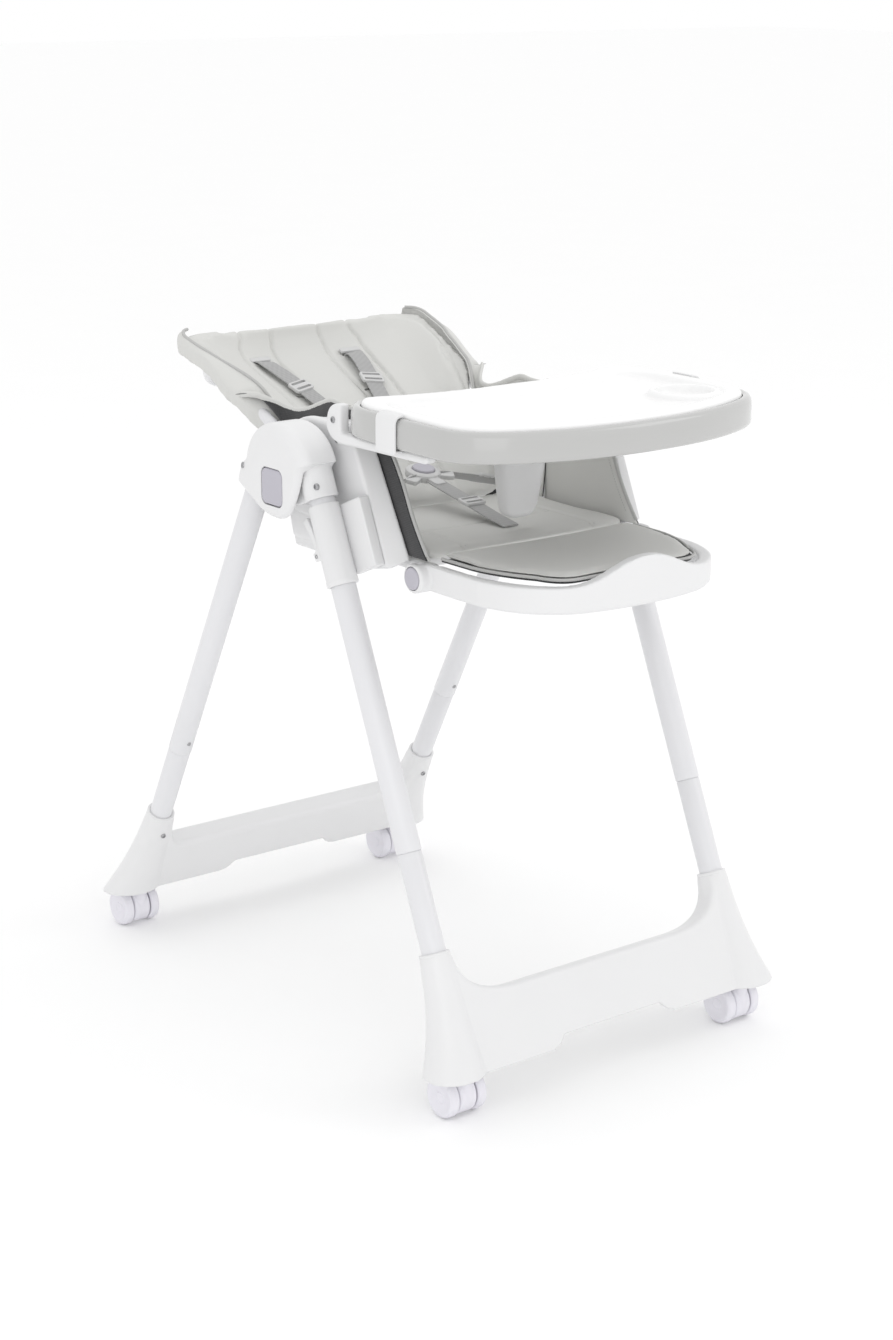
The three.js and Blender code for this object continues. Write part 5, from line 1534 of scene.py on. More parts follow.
@dataclass
class Footrest:
    """The loop in front of the seat that carries the leg pad."""

    pivot_y: float = -200
    pivot_z: float = 636
    half: float = 173
    front: float = -417
    wall: float = 14
    bottom: float = 620
    top: float = 653
    hump: float = 681
    boss: float = 18.7
    knob: float = 14
    pad_half: float = 155
    pad_top: float = 664

    def _plan(self, wall: float) -> Flat:
        """The loop in plan, at a depth inside its outer face."""
        half, front = self.half - wall, self.front + wall
        end = self.pivot_y + wall
        shape = Outline(0, front).quad(50, front, 92, front + 11, 14)
        shape.quad(half - 14, front + 34, half - 2, front + 112, 18)
        return even(shape.line(half, front + 160).line(half, end).line(0, end).mirrored(), 6)

    def loop(self) -> None:
        """The moulded loop with its raised front and round bosses."""
        outer = Shell().slab(self._plan(0), on_z, self.bottom, self.hump + 4, 5, 0)
        inner = Shell().slab(self._plan(self.wall), on_z, self.bottom - 5, self.hump + 10)
        ends = Shell().slab(rounded(self.half * 2 + 9, 60, 1, 0, self.pivot_y + 30), on_z, 600, 700)
        sky = Outline(0, self.hump).cubic((45, self.hump), (60, self.top), (112, self.top), 24)
        far, over = self.half + 20, self.hump + 60
        skyline = Shell().slab(even(sky.line(far, self.top).line(far, over).line(0, over).mirrored(), 8),
                               on_y,
                               self.front - 20, self.pivot_y + 40)
        circle = ellipse(self.boss, self.boss, self.pivot_y, self.pivot_z, 64)
        bosses = Shell().slab(circle, on_x, 164, 188, 1, 2.6, 5).mirror()
        well = Shell().slab(ellipse(self.knob + 0.9, self.knob + 0.9, self.pivot_y, self.pivot_z, 64), on_x,
                            176, 195)
        notch = Shell().slab(rounded(327.2, 52, 1, 0, self.pivot_y + 4), on_z, 600, 700)
        made = moulded("footrest_bow", [outer, bosses], [inner, ends, skyline, notch], 1.9, 5)
        finish(pierced(made, well.mirror()), Look.WHITE, "footrest", "footrest_loop")
        for side, sign in SIDES.items():
            disc = ellipse(self.knob, self.knob, self.pivot_y, self.pivot_z, 56)
            button = Shell().slab(disc, on_x, 178, 189.8, 0, 2.4, 6).moved(Matrix.Diagonal((sign, 1, 1, 1)))
            button.piece(f"footrest_knob_{side}", Look.BUTTON, f"footrest_press_{side}",
                         f"footrest_button_{side}", angle=60)

    def _pad_plan(self) -> Flat:
        """The leg pad in plan."""
        front, half = self.front + self.wall + 13, self.pad_half
        shape = Outline(0, front).line(82, front).quad(112, front, 122, front + 36, 12)
        shape.quad(148, front + 76, half - 2, front + 120, 16).line(half, -209).line(0, -209)
        return even(shape.mirrored(), 7)

    def pad(self, trim: Trim) -> None:
        """The leg pad, coated above and dark below, with a sewn edge."""
        plan = self._pad_plan()
        body = Shell().slab(inset(plan, 2), on_z, self.pad_top - 5.6, self.pad_top - 1.4, 2, 2)
        pad = puffed(body.build("leg_pad"), 3, 4.5)

        def sew(point: Vector, normal: Vector) -> Vector:
            """Presses a channel in beside the edge, and lets the front droop."""
            up = smooth_step(0.2, 0.9, normal.z)
            edge = 1.8 * groove(abs(point.x) - (self.pad_half - 12), 2.2) if point.y > -300 else 0
            return Vector((0, 0, -up * edge))

        displaced(pad, sew)
        for vertex in pad.data.vertices:
            vertex.co.z = min(max(vertex.co.z, (self.pad_top - 7.4) * MM), (self.pad_top + 1.4) * MM)
        finish(pad, Look.LEATHER, "footrest", "legrest_pad")
        under = Shell().slab(inset(plan, 3), on_z, self.pad_top - 10.4, self.pad_top - 7.6, 1, 0.4, 3)
        cloth = under.piece("leg_pad_underside", Look.CHARCOAL, "footrest", angle=60)
        edge = [Vector((p.x, p.y, self.pad_top - 5)) for p in inset(plan, 0.4)]
        start = min(range(len(edge)), key=lambda i: abs(edge[i].x - self.pad_half) + abs(edge[i].y + 209))
        ordered = edge[start:] + edge[:start]
        if ordered[1].y > -215:
            ordered = ordered[:1] + ordered[1:][::-1]
        front_run = [p for p in ordered if p.y < -212]
        trim.piping("leg_pad_piping", [front_run], 2.0, Look.PIPING, "footrest")

    def build(self, trim: Trim) -> None:
        """Builds the footrest."""
        self.loop()
        self.pad(trim)


# ---- Backrest --------------------------------------------------------------------------------


BACK_ORIGIN = Vector((0, 289, 869))
BACK_TILT = math.radians(25.5)
BACK_UP = Vector((0, math.cos(BACK_TILT), math.sin(BACK_TILT)))
BACK_OUT = Vector((0, -math.sin(BACK_TILT), math.cos(BACK_TILT)))


def back_point(x: float, u: float, n: float) -> Vector:
    """A point from the reclined backrest's own axes: across, up the back, and out of its face."""
    return BACK_ORIGIN + Vector((x, 0, 0)) + BACK_UP * u + BACK_OUT * n


def back_place(point: Vector) -> Vector:
    """A plan point in the backrest's own axes."""
    from_corner = point - BACK_ORIGIN
    return Vector((point.x, from_corner.dot(BACK_UP), from_corner.dot(BACK_OUT)))


@dataclass
class Backrest:
    """The reclining back: a bent tube with a padded hammock, its skirts and its dark outer cloth."""

    tube_radius: float = 8
    pivot: tuple[float, float] = (38, 733)
    thick: float = 10
    seams: tuple[float, ...] = (0.22, 0.5)
    grid: tuple[tuple[tuple[float, float, float], ...], ...] = (
        ((0, -318, -88), (60, -318, -88), (120, -316, -85), (150, -312, -76)),
        ((0, -296, -83), (60, -296, -83), (120, -294, -78), (150, -288, -58)),
        ((0, -214, -66), (60, -214, -65), (115, -214, -54), (148, -214, -20)),
        ((0, -150, -55), (65, -150, -53), (125, -148, -32), (171, -144, 12)),
        ((0, -93, -50), (68, -93, -49), (135, -93, -30), (182, -93, 11)),
        ((0, -12, -53), (75, -12, -52), (150, -10, -28), (197, -10, 1)),
        ((0, 20, -42), (80, 20, -40), (150, 16, -22), (196, 10, -2)),
        ((0, 38, -20), (90, 38, -20), (150, 34, -11), (180, 25, -6)),
    )
    hem: tuple[tuple[float, float, float], ...] = (
        (197, 157, 813), (190, 148, 814), (181, 138, 812), (166, 122, 804), (158, 108, 798), (154, 87, 797),
        (152, 64, 803), (152, 38, 813), (152, 16, 820), (152, -5, 818), (153, -25, 817),
    )
    foot: tuple[tuple[float, float, float], ...] = (
        (196, 160, 811), (184, 158, 811), (170, 153, 812), (160, 132, 788), (152, 112, 764), (148, 92, 738),
        (147, 72, 710), (148, 50, 682), (150, 26, 664), (154, 0, 662), (158, -25, 662),
    )
    edge: tuple[tuple[float, float, float], ...] = (
        (180, 26, -6), (191, 18, -3), (197, 6, -1), (197, -10, 1), (193, -48, 7), (187, -71, 9),
        (181, -95, 12), (175, -119, 14), (170, -144, 14), (162, -170, 4), (152, -200, -12), (148, -216, -20),
    )
    roll_edge: tuple[tuple[float, float, float], ...] = (
        (185, 31, -13), (196, 22, -10), (203, 6, -8), (204, -6, -4), (204, -23, -2), (204, -46, 4),
        (203, -72, 5), (202, -98, 2), (201, -120, 0), (198, -139, 1), (190, -160, -6), (176, -186, -18),
        (162, -214, -30),
    )
    roll_steps: int = 90
    gusset_steps: int = 12
    gusset_bulge: float = 7
    strap_slots: tuple[tuple[float, float, float], ...] = ((75, -12, -50), (57, -100, -48), (24, -226, -62))

    def _surface(self, across: int, up: int) -> list[list[Vector]]:
        """The cushion's face as rows of points in the back's own axes, from left to right."""
        rows = []
        for row in self.grid:
            half = spline([Vector(p) for p in row], 10)
            full = [Vector((-p.x, p.y, p.z)) for p in half[:0:-1]] + half
            rows.append(full)
        columns = [spline([row[i] for row in rows], up) for i in range(len(rows[0]))]
        keep = range(0, len(columns), max(1, len(columns) // across))
        chosen = sorted(set(keep) | {len(columns) - 1})
        return [[columns[i][k] for i in chosen] for k in range(len(columns[0]))]

    def _half_width(self, u: float) -> float:
        """The cushion's half width at a place up the back."""
        marks = sorted((row[-1][1], row[-1][0]) for row in self.grid)
        for (low, a), (high, b) in zip(marks, marks[1:]):
            if u <= high:
                t = max(0.0, (u - low) / (high - low))
                return a + (b - a) * t
        return marks[-1][1]

    def _solid(self, rows: list[list[Vector]], thick: float) -> Shell:
        """A closed sheet on the face, of a thickness, as one skin."""
        shell = Shell()
        rings = []
        for k, row in enumerate(rows):
            before, after = rows[max(k - 1, 0)], rows[min(k + 1, len(rows) - 1)]
            back = []
            for i, point in enumerate(row):
                along = row[min(i + 1, len(row) - 1)] - row[max(i - 1, 0)]
                normal = along.cross(after[i] - before[i]).normalized()
                normal = normal if normal.z > 0 else -normal
                back.append(point - normal * thick)
            ring = row + back[::-1]
            rings.append([back_point(p.x, p.y, p.z) for p in ring])
        return shell.loft(rings)

    def cushion(self, trim: Trim) -> None:
        """The padded face in five sewn panels."""
        rows = self._surface(48, 7)
        core = self._solid([[Vector((p.x * 0.985, p.y, p.z - 1.6)) for p in row] for row in rows],
                           self.thick - 2.6)
        pad = puffed(core.build("back_cushion"), 5, 4.5, 5)

        def sew(point: Vector, normal: Vector) -> Vector:
            """Presses the seams into the face and crowns the panels between them."""
            place = back_place(point)
            half = self._half_width(place.y)
            face = smooth_step(-0.1, 0.5, normal.dot(BACK_OUT))
            share = abs(place.x) / half
            depth = sum(groove((share - at) * half, 2.6) for at in self.seams)
            fade = smooth_step(-300, -270, place.y) * (1 - smooth_step(22, 40, place.y) * 0.4)
            return normal * (-3.0 * depth * face * fade + 0.7 * face * fade * (1 - depth))

        displaced(pad, sew)
        slots = Shell()
        for side in SIDES.values():
            for x, u, n in self.strap_slots:
                tool = Shell().slab(rounded(29, 4.4, 2.1, 0, 0, 4), on_z, -20, 20)
                turn = Matrix.Rotation(BACK_TILT, 4, "X")
                slots.add(tool.moved(Matrix.Translation(back_point(side * x, u, n)) @ turn))
        pierced(pad, slots).data.shade_smooth()
        finish(pad, Look.LEATHER, "", "backrest_pad")
        self._sewing(trim)

    def _line(self, share: float, lift: float, low: float = -290, high: float = 30) -> list[Vector]:
        """A line up the face at a share of its half width, at a height over the face."""
        rows = self._surface(60, 8)
        made = []
        for row in rows:
            if not low <= row[len(row) // 2].y <= high:
                continue
            half = row[-1].x
            near = min(range(1, len(row)), key=lambda i: abs(row[i].x - share * half))
            a, b = row[near - 1], row[near]
            if a.x > share * half:
                a, b = row[near - 2], row[near - 1]
            t = (share * half - a.x) / max(1e-6, b.x - a.x)
            point = a.lerp(b, min(max(t, 0), 1))
            made.append(back_point(point.x, point.y, point.z + lift))
        return made

    def _sewing(self, trim: Trim) -> None:
        """The threads in the seams and the cord round the face's edge."""
        lines = [self._line(sign * at + shift, -1.4) for at in self.seams for sign in (-1, 1)
                 for shift in (-0.016, 0.016)]
        trim.stitches("back_cushion_stitches", lines, "")
        sides = []
        for sign in SIDES.values():
            run = spline([Vector((sign * (x + 1.2), u, n)) for x, u, n in self.edge], 8)
            sides.append([back_point(p.x, p.y, p.z) for p in run])
        trim.piping("back_cushion_piping", sides, 2.2, Look.PIPING, "")

    def roll(self) -> None:
        """The coated cloth that rolls over the top and the sides to the dark hem."""
        for side, sign in SIDES.items():
            inner_run = spline([Vector(p) for p in self.edge], 6)
            outer_run = spline([Vector(p) for p in self.roll_edge], 6)
            self._band(f"back_roll_{side}", sign, inner_run, outer_run)
            self._gusset(side, sign)

    def _gusset(self, side: str, sign: int) -> None:
        """The cloth side from the cushion's edge to the elastic hem, coated inside and dark outside."""
        top = [Vector((sign * x, y, z)) for x, y, z in self.hem]
        low = [Vector((sign * x, y, z)) for x, y, z in self.foot]
        tops, lows = spline(top, 12), spline(low, 12)
        for name, start, end, look in (("lining", 0, 1.6, Look.LEATHER), ("cloth", 1.9, 3.4, Look.CHARCOAL)):
            rings = []
            for k, (a, b) in enumerate(zip(tops, lows)):
                inner, outer = [], []
                for i in range(self.gusset_steps + 1):
                    t = i / self.gusset_steps
                    bulge = self.gusset_bulge * math.sin(math.pi * t)
                    fold = 1.2 * math.sin(k * 0.52) * t * (1 - t) ** 2
                    base = a.lerp(b, t) + Vector((sign * (bulge + fold), 0, 0))
                    inner.append(base + Vector((sign * start, 0, -0.4)))
                    outer.append(base + Vector((sign * end, 0, -0.4)))
                rings.append(inner + outer[::-1])
            made = Shell().loft(rings).piece(f"back_side_{name}_{side}", look, "", angle=60)
        rings = []
        run = spline(top, 26)
        for k, point in enumerate(run):
            ahead = (run[min(k + 1, len(run) - 1)] - run[max(k - 1, 0)]).normalized()
            across = Vector((sign, 0, 0))
            across = (across - ahead * across.dot(ahead)).normalized()
            up = ahead.cross(across) * sign
            pucker = 1 + 0.03 * math.sin(k * 1.35) + 0.02 * math.sin(k * 0.53)
            centre = point + Vector((sign * 1.6, 0, -2))
            rings.append([centre + across * p.x * pucker + up * p.y * pucker
                          for p in ellipse(2.3, 4.2, sides=14)])
        band = Shell().loft(rings).piece(f"back_side_elastic_{side}", Look.LEATHER, "", angle=70)

    def _band(self, name: str, sign: int, inner: list[Vector], outer: list[Vector]) -> None:
        """A rolled strip of coated cloth between two lines in the back's own axes."""
        rings = []
        for k in range(self.roll_steps + 1):
            a, b = part_way(inner, k / self.roll_steps), part_way(outer, k / self.roll_steps)
            low = Vector((b.x - 4, b.y, b.z - 22))
            crown, shoulder = Vector((0, 0, 1.6)), Vector((1.5, 0, 0))
            smooth = spline([a, a.lerp(b, 0.5) + crown, b, b.lerp(low, 0.35) + shoulder, low], 4)
            ripple = 0.5 * math.sin(k * 1.1) + 0.3 * math.sin(k * 0.37)
            ring = [Vector((p.x + ripple * (i / len(smooth)) ** 2, p.y, p.z)) for i, p in enumerate(smooth)]
            back = [Vector((p.x - 2.2, p.y, p.z - 1.4)) for p in ring]
            rings.append([back_point(sign * p.x, p.y, p.z) for p in ring + back[::-1]])
        made = Shell().loft(rings).piece(name, Look.LEATHER, "backrest", angle=60)

    def frame(self) -> None:
        """The bent tube with its pivot lugs."""
        half = [Vector((176, *self.pivot)), back_point(176, -120, -10), back_point(176, -52, -18),
                back_point(169, -27, -38), back_point(142, -6, -70), back_point(92, 6, -88)]
        route = half + [back_point(0, 8, -92)] + [Vector((-p.x, p.y, p.z)) for p in half[::-1]]
        tube = Shell().tube(spline(route, 10), self.tube_radius, 28)
        lug = Shell().slab(ellipse(13, 13, *self.pivot), on_x, 168, 184, 2, 2).mirror()
        made = moulded("back_tube", [tube, lug], (), 1.6, 3)
        finish(made, Look.TUBE, "backrest", "backrest_frame")

    def outer_cloth(self) -> None:
        """The dark cloth behind the cushion, hung from its edges as a shallow bag."""
        rows = self._surface(36, 6)
        bag = []
        for row in rows[2:-1]:
            lower = []
            for p in row:
                share = p.x / max(1.0, row[-1].x)
                sag = 12 + 14 * (1 - share * share)
                lower.append(Vector((p.x * 0.97, p.y - 2, p.z - sag)))
            bag.append(lower)
        made = self._solid(bag, 2.4).piece("back_bag", Look.CHARCOAL, "", angle=70)

    def build(self, trim: Trim) -> None:
        """Builds the backrest."""
        self.frame()
        self.cushion(trim)
        self.roll()
        self.outer_cloth()


# ---- Tray ------------------------------------------------------------------------------------


@dataclass
class Tray:
    """The tray: grey base with a glossy rim, lift-out white insert, latches and crotch post."""

    half: float = 238
    front: float = -420
    rear: float = -133
    bottom: float = 805
    rim: float = 842
    rim_width: float = 12
    insert_top: float = 847
    insert_bottom: float = 829
    margin: float = 32
    dish: float = 10
    cup: tuple[float, float, float] = (157, -300, 36)
    cup_depth: float = 13
    latch_y: float = -219
    latch_length: float = 38
    arm_out: float = 228
    post_bottom: float = 682
    post_y: float = -168
    post_half: tuple[float, float] = (36, 27)
    post_square: float = 0.86
    long_ribs: tuple[tuple[float, float], ...] = (
        (-180, 150), (-120, 205), (-60, 226), (60, 226), (120, 205), (180, 150),
    )
    cross_ribs: tuple[tuple[float, float], ...] = ((-350, 370), (-270, 430))
    rib_middle: float = -274
    dish_wall: tuple[tuple[float, float], ...] = (
        (9, 0), (6.5, 0.35), (4.2, 1.3), (2.6, 3), (1.4, 5.2), (0.2, 7.6), (-1.6, 9.4),
        (-4.4, 10.1), (-4.4, 16),
    )

    def _plan(self) -> Flat:
        """The tray in plan."""
        half, front, rear = self.half, self.front, self.rear
        shape = Outline(0, rear).quad(110, rear, 165, rear + 22, 16).quad(200, rear + 38, 212, rear + 21, 12)
        shape.quad(234, rear + 4, half - 1, rear - 40, 14).line(half, front + 120)
        shape.cubic((half, front + 62), (half - 42, front + 40), (140, front + 20), 22)
        return even(shape.quad(80, front, 0, front, 14).mirrored(), 6)

    def _dish(self) -> Flat:
        """The insert's dish in plan."""
        half, rear, front = self.half - self.margin, self.rear - self.margin, self.front + self.margin
        shape = Outline(0, rear).quad(100, rear, 140, rear + 14, 14)
        shape.quad(half - 4, rear + 30, half, rear - 30, 18)
        shape.line(half, front + 90).cubic((half, front + 52), (half - 34, front + 36), (126, front + 18), 20)
        return even(shape.quad(70, front, 0, front, 12).mirrored(), 6)

    def base(self) -> None:
        """The base: a shell with a rolled glossy rim, ribbed underneath."""
        plan, height = self._plan(), self.rim - self.bottom
        profile = [(5, 0), (2, 0.8), (0.4, 3), (0, 7), (0, height - 13), (0.3, height - 9), (1.2, height - 5),
                   (3, height - 2), (5.4, height - 0.5), (7.4, height), (9.6, height - 0.4),
                   (11.4, height - 1.6), (11.7, height - 4), (11.7, self.insert_bottom - 0.3 - self.bottom)]
        body = Shell().loft([on_z(inset(plan, d) if d else plan, self.bottom + z) for d, z in profile])
        under = Shell().slab(inset(plan, 10), on_z, self.bottom - 5, self.insert_bottom - 5.8, 0, 3, 4)
        base = shade(carved("tray_shell", [body], [under]), 42)
        finish(base, Look.RIM, "tray", "tray_base")
        ribs = Shell()
        low, high = self.bottom + 4, self.insert_bottom - 5.2
        for x, length in self.long_ribs:
            ribs.slab(rounded(3, length, 1.4, x, self.rib_middle), on_z, low, high, 0.6, 0, 2)
        for y, length in self.cross_ribs:
            ribs.slab(rounded(length, 3, 1.4, 0, y), on_z, low, high, 0.6, 0, 2)
        ribs.piece("tray_ribs", Look.RIM, "tray")

    def insert(self) -> None:
        """The white insert: a broad lip, a shallow dish and a cup recess that opens into it."""
        plan = inset(self._plan(), self.rim_width + 0.4)
        top, low = self.insert_top, self.insert_bottom
        lip = [(0.6, low), (0, low + 1), (0, top - 6), (0.5, top - 3.4), (1.8, top - 1.3), (4, top - 0.2),
               (7, top)]
        body = Shell().loft([on_z(inset(plan, d) if d else plan, z) for d, z in lip])
        dish_plan = self._dish()
        dish = Shell().loft([on_z(inset(dish_plan, d), top - self.dish + z) for d, z in self.dish_wall])
        x, y, r = self.cup
        depth = self.cup_depth
        bowl = Shell().turned([
            (0, 0), (r - 7, 0), (r - 4, 0.8), (r - 2, 2.6), (r - 0.8, 5.5), (r, depth - 1.4),
            (r + 1.8, depth - 0.2), (r + 3.6, depth + 0.1), (r + 3.6, 20), (0, 20),
        ], Matrix.Translation((x, y, top - depth)), 72)
        keep = Shell().turned([(0, 0), (r + 9, 0), (r + 9, 11), (r + 7, 13.6), (r + 4.4, 14.4), (0, 14.4)],
                              Matrix.Translation((x, y, low + 2.7)), 72)
        inside = Shell().slab(inset(plan, 3), on_z, low, top)
        tray = carved("tray_plate_part", [body], [dish])
        ring = combined(keep.build("tray_ring"), "INTERSECT", inside.build("tray_inside"))
        pierced(combined(tray, "UNION", ring), bowl)
        remeshed(tray, 1.9, 6).name = "tray_plate"
        tray.data.shade_smooth()
        finish(tray, Look.INSERT, "insert", "tray_insert")

    def latch(self, side: str) -> None:
        """A clip that reaches from an arm up over the rim."""
        sign, out, rim, low = SIDES[side], self.half + 0.6, self.rim, self.bottom
        inner, thick = self.half - self.rim_width + 1.5, 3
        shape = Outline(self.arm_out + 1, low - 4.5).line(out + thick, low - 4.5).line(out + thick, rim - 6)
        shape.quad(out + thick, rim + 4, out - 6, rim + 4.5, 10).line(inner, rim + 5).line(inner, rim + 1.2)
        shape.line(out - 6, rim + 1).quad(out, rim, out, rim - 8)
        shape.line(out, low - 1.2).line(self.arm_out + 1, low - 1.2)
        half = self.latch_length / 2
        body = Shell().slab(shape.closed(), on_y, self.latch_y - half, self.latch_y + half, 1, 1, 3)
        clip = body.moved(Matrix.Diagonal((sign, 1, 1, 1)))
        clip.piece(f"tray_clip_{side}", Look.WHITE, "tray", f"tray_latch_{side}")

    def post(self) -> None:
        """The hollow post between the baby's legs, broad at the tray and round at its foot."""
        top = self.insert_bottom - 6.1
        height = top - self.post_bottom
        shares = [(0.05, 0), (0.3, 0.004), (0.5, 0.02), (0.62, 0.05), (0.7, 0.1), (0.78, 0.2), (0.86, 0.34),
                  (0.94, 0.5), (1, 0.66), (1.04, 0.84), (1.06, 1)]
        wide, deep = self.post_half
        flat = [Vector((math.copysign(abs(p.x / wide) ** self.post_square, p.x) * wide,
                        math.copysign(abs(p.y / deep) ** self.post_square, p.y) * deep))
                for p in ellipse(wide, deep, sides=64)]
        rings = []
        for scale, share in shares:
            rings.append(on_z([Vector((p.x * scale, self.post_y - 8 * share + p.y * scale)) for p in flat],
                              self.post_bottom + height * share))
        fine = [spline([ring[i] for ring in rings], 4) for i in range(64)]
        post = Shell().loft([[column[k] for column in fine] for k in range(len(fine[0]))])
        post.piece("crotch_guard", Look.WHITE, "tray", "crotch_post", angle=50)
        flange = Shell().slab(rounded(92, 70, 14, 0, self.post_y - 8, 8), on_z, top - 3, top, 1.2, 0)
        flange.piece("crotch_guard_flange", Look.WHITE, "tray")

    def build(self) -> None:
        """Builds the tray."""
        self.base()
        self.insert()
        self.post()
        for side in SIDES:
            self.latch(side)


# ---- Harness ---------------------------------------------------------------------------------


@dataclass
class Harness:
    """The five straps with their buckle and adjusters."""

    width: float = 25
    thick: float = 2
    buckle_y: float = 29
    buckle_z: float = 704
    radius: float = 24
    button: float = 15
    tilt: float = 12
    prong_turns: tuple[float, ...] = (-90, 210, 330)
    shoulder: tuple[tuple[float, float, float], ...] = (
        (75, -10, -56), (75, -13, -47), (74, -22, -41), (70, -44, -38.5), (66, -60, -38), (57, -96, -38),
        (49, -130, -39), (42, -160, -40), (32, -196, -44), (25, -220, -52), (23, -227, -62),
    )
    waist: tuple[tuple[float, float, float], ...] = (
        (20, 28, 701), (28, 27, 700), (48, 26, 696), (72, 24, 691), (96, 20, 685), (118, 16, 680),
        (140, 9, 675), (150, 7, 672),
    )
    crotch: tuple[tuple[float, float, float], ...] = (
        (0, -156, 667.5), (0, -150, 669), (0, -120, 674), (0, -95, 679), (0, -70, 684), (0, -30, 691.5),
        (0, 4, 698),
    )

    def _adjuster(self, at: Vector, ahead: Vector, across: Vector, name: str, body: str) -> None:
        """A strap adjuster: a plate with two slots, on the strap."""
        ahead = ahead.normalized()
        side = (across - ahead * across.dot(ahead)).normalized()
        turn = Matrix((side, ahead, side.cross(ahead))).transposed().to_4x4()
        plate = Shell().slab(rounded(33, 22, 4), on_z, -1.6, 2.6, 0.8, 1.2, 3)
        slots = [Shell().slab(rounded(26.5, 4.6, 2, 0, y), on_z, -6, 6) for y in (-5.6, 5.6)]
        place = Matrix.Translation(at) @ turn
        made = shade(carved(name, [plate.moved(place)], [slot.moved(place) for slot in slots]), 40)
        finish(made, Look.SLIDER, body)

    def straps(self) -> None:
        """Lays the webbing."""
        for side, sign in SIDES.items():
            route = [back_point(sign * x, u, n) for x, u, n in self.shoulder]
            across = Vector((1, 0.2 * sign, 0.1 * sign))
            strap = Shell().strap(spline(route, 6), across, self.width, self.thick)
            strap.piece(f"shoulder_webbing_{side}", Look.WEBBING, "backrest", f"shoulder_strap_{side}",
                        angle=50)
            end = back_point(sign * 75, -8, -50)
            ahead = back_point(sign * 66, -60, -38) - back_point(sign * 57, -96, -38)
            self._adjuster(back_point(sign * 59, -88, -37), ahead, Vector((1, 0, 0)),
                           f"shoulder_adjuster_{side}", "backrest")
            keeper = Shell().slab(rounded(33, 9, 3), on_z, -1.5, 2.6, 0.7, 1.2, 3)
            keeper.moved(Matrix.Translation(end + BACK_OUT * 4.6) @ Matrix.Rotation(BACK_TILT, 4, "X"))
            keeper.piece(f"shoulder_keeper_{side}", Look.SLIDER, "backrest")
            route = [Vector((sign * x, y, z)) for x, y, z in self.waist]
            belt = Shell().strap(spline(route, 6), Vector((0, 0.9, -0.4)), self.width, self.thick)
            belt.piece(f"waist_webbing_{side}", Look.WEBBING, "seat", f"waist_strap_{side}", angle=50)
            self._adjuster(Vector((sign * 92, 20.8, 688)), Vector((sign, -0.16, -0.24)),
                           Vector((0, 0.9, -0.4)), f"waist_adjuster_{side}", "seat")
        route = [Vector(p) for p in self.crotch]
        webbing = Shell().strap(spline(route, 8), Vector((1, 0, 0)), self.width, self.thick)
        webbing.piece("crotch_webbing", Look.WEBBING, "seat", "crotch_strap", angle=50)
        self._adjuster(Vector((0, -76, 685)), Vector((0, 0.98, 0.18)), Vector((1, 0, 0)),
                       "crotch_adjuster", "seat")

    def buckle(self) -> None:
        """The round buckle, its three prongs and its button."""
        turn = Matrix.Rotation(math.radians(self.tilt), 4, "X")
        place = Matrix.Translation((0, self.buckle_y, self.buckle_z)) @ turn
        r, b = self.radius, self.button
        body = Shell().turned([
            (0, -6), (r - 3.4, -6), (r - 1, -4.6), (r, -1.6), (r, 1.4), (r - 1.2, 4.2), (r - 4, 5.8),
            (b + 1, 6), (b + 0.4, 5.2), (b + 0.4, -1.6), (0, -1.6),
        ], place, 64)
        body.piece("buckle_case", Look.SLIDER, "seat", "buckle", angle=35)
        top = Shell().turned([(0, 2.6), (b, 2.6), (b, 7.6), (b - 0.8, 8.7), (b - 2.6, 9), (b - 6, 8.5),
                              (0, 8.1)], place, 56)
        top.piece("buckle_press_disc", Look.BUTTON, "release_button", "buckle_button", angle=35)
        prongs = Shell()
        for turn in self.prong_turns:
            lug = Shell().slab(rounded(22, 17, 4, r + 6.5, 0), on_z, -3.4, 2.6, 1, 1, 3)
            prongs.add(lug.moved(place @ Matrix.Rotation(math.radians(turn), 4, "Z")))
        prongs.piece("buckle_prongs", Look.SLIDER, "seat", angle=35)

    def build(self) -> None:
        """Builds the harness."""
        self.straps()
        self.buckle()


# ---- Camera, light and floor -----------------------------------------------------------------


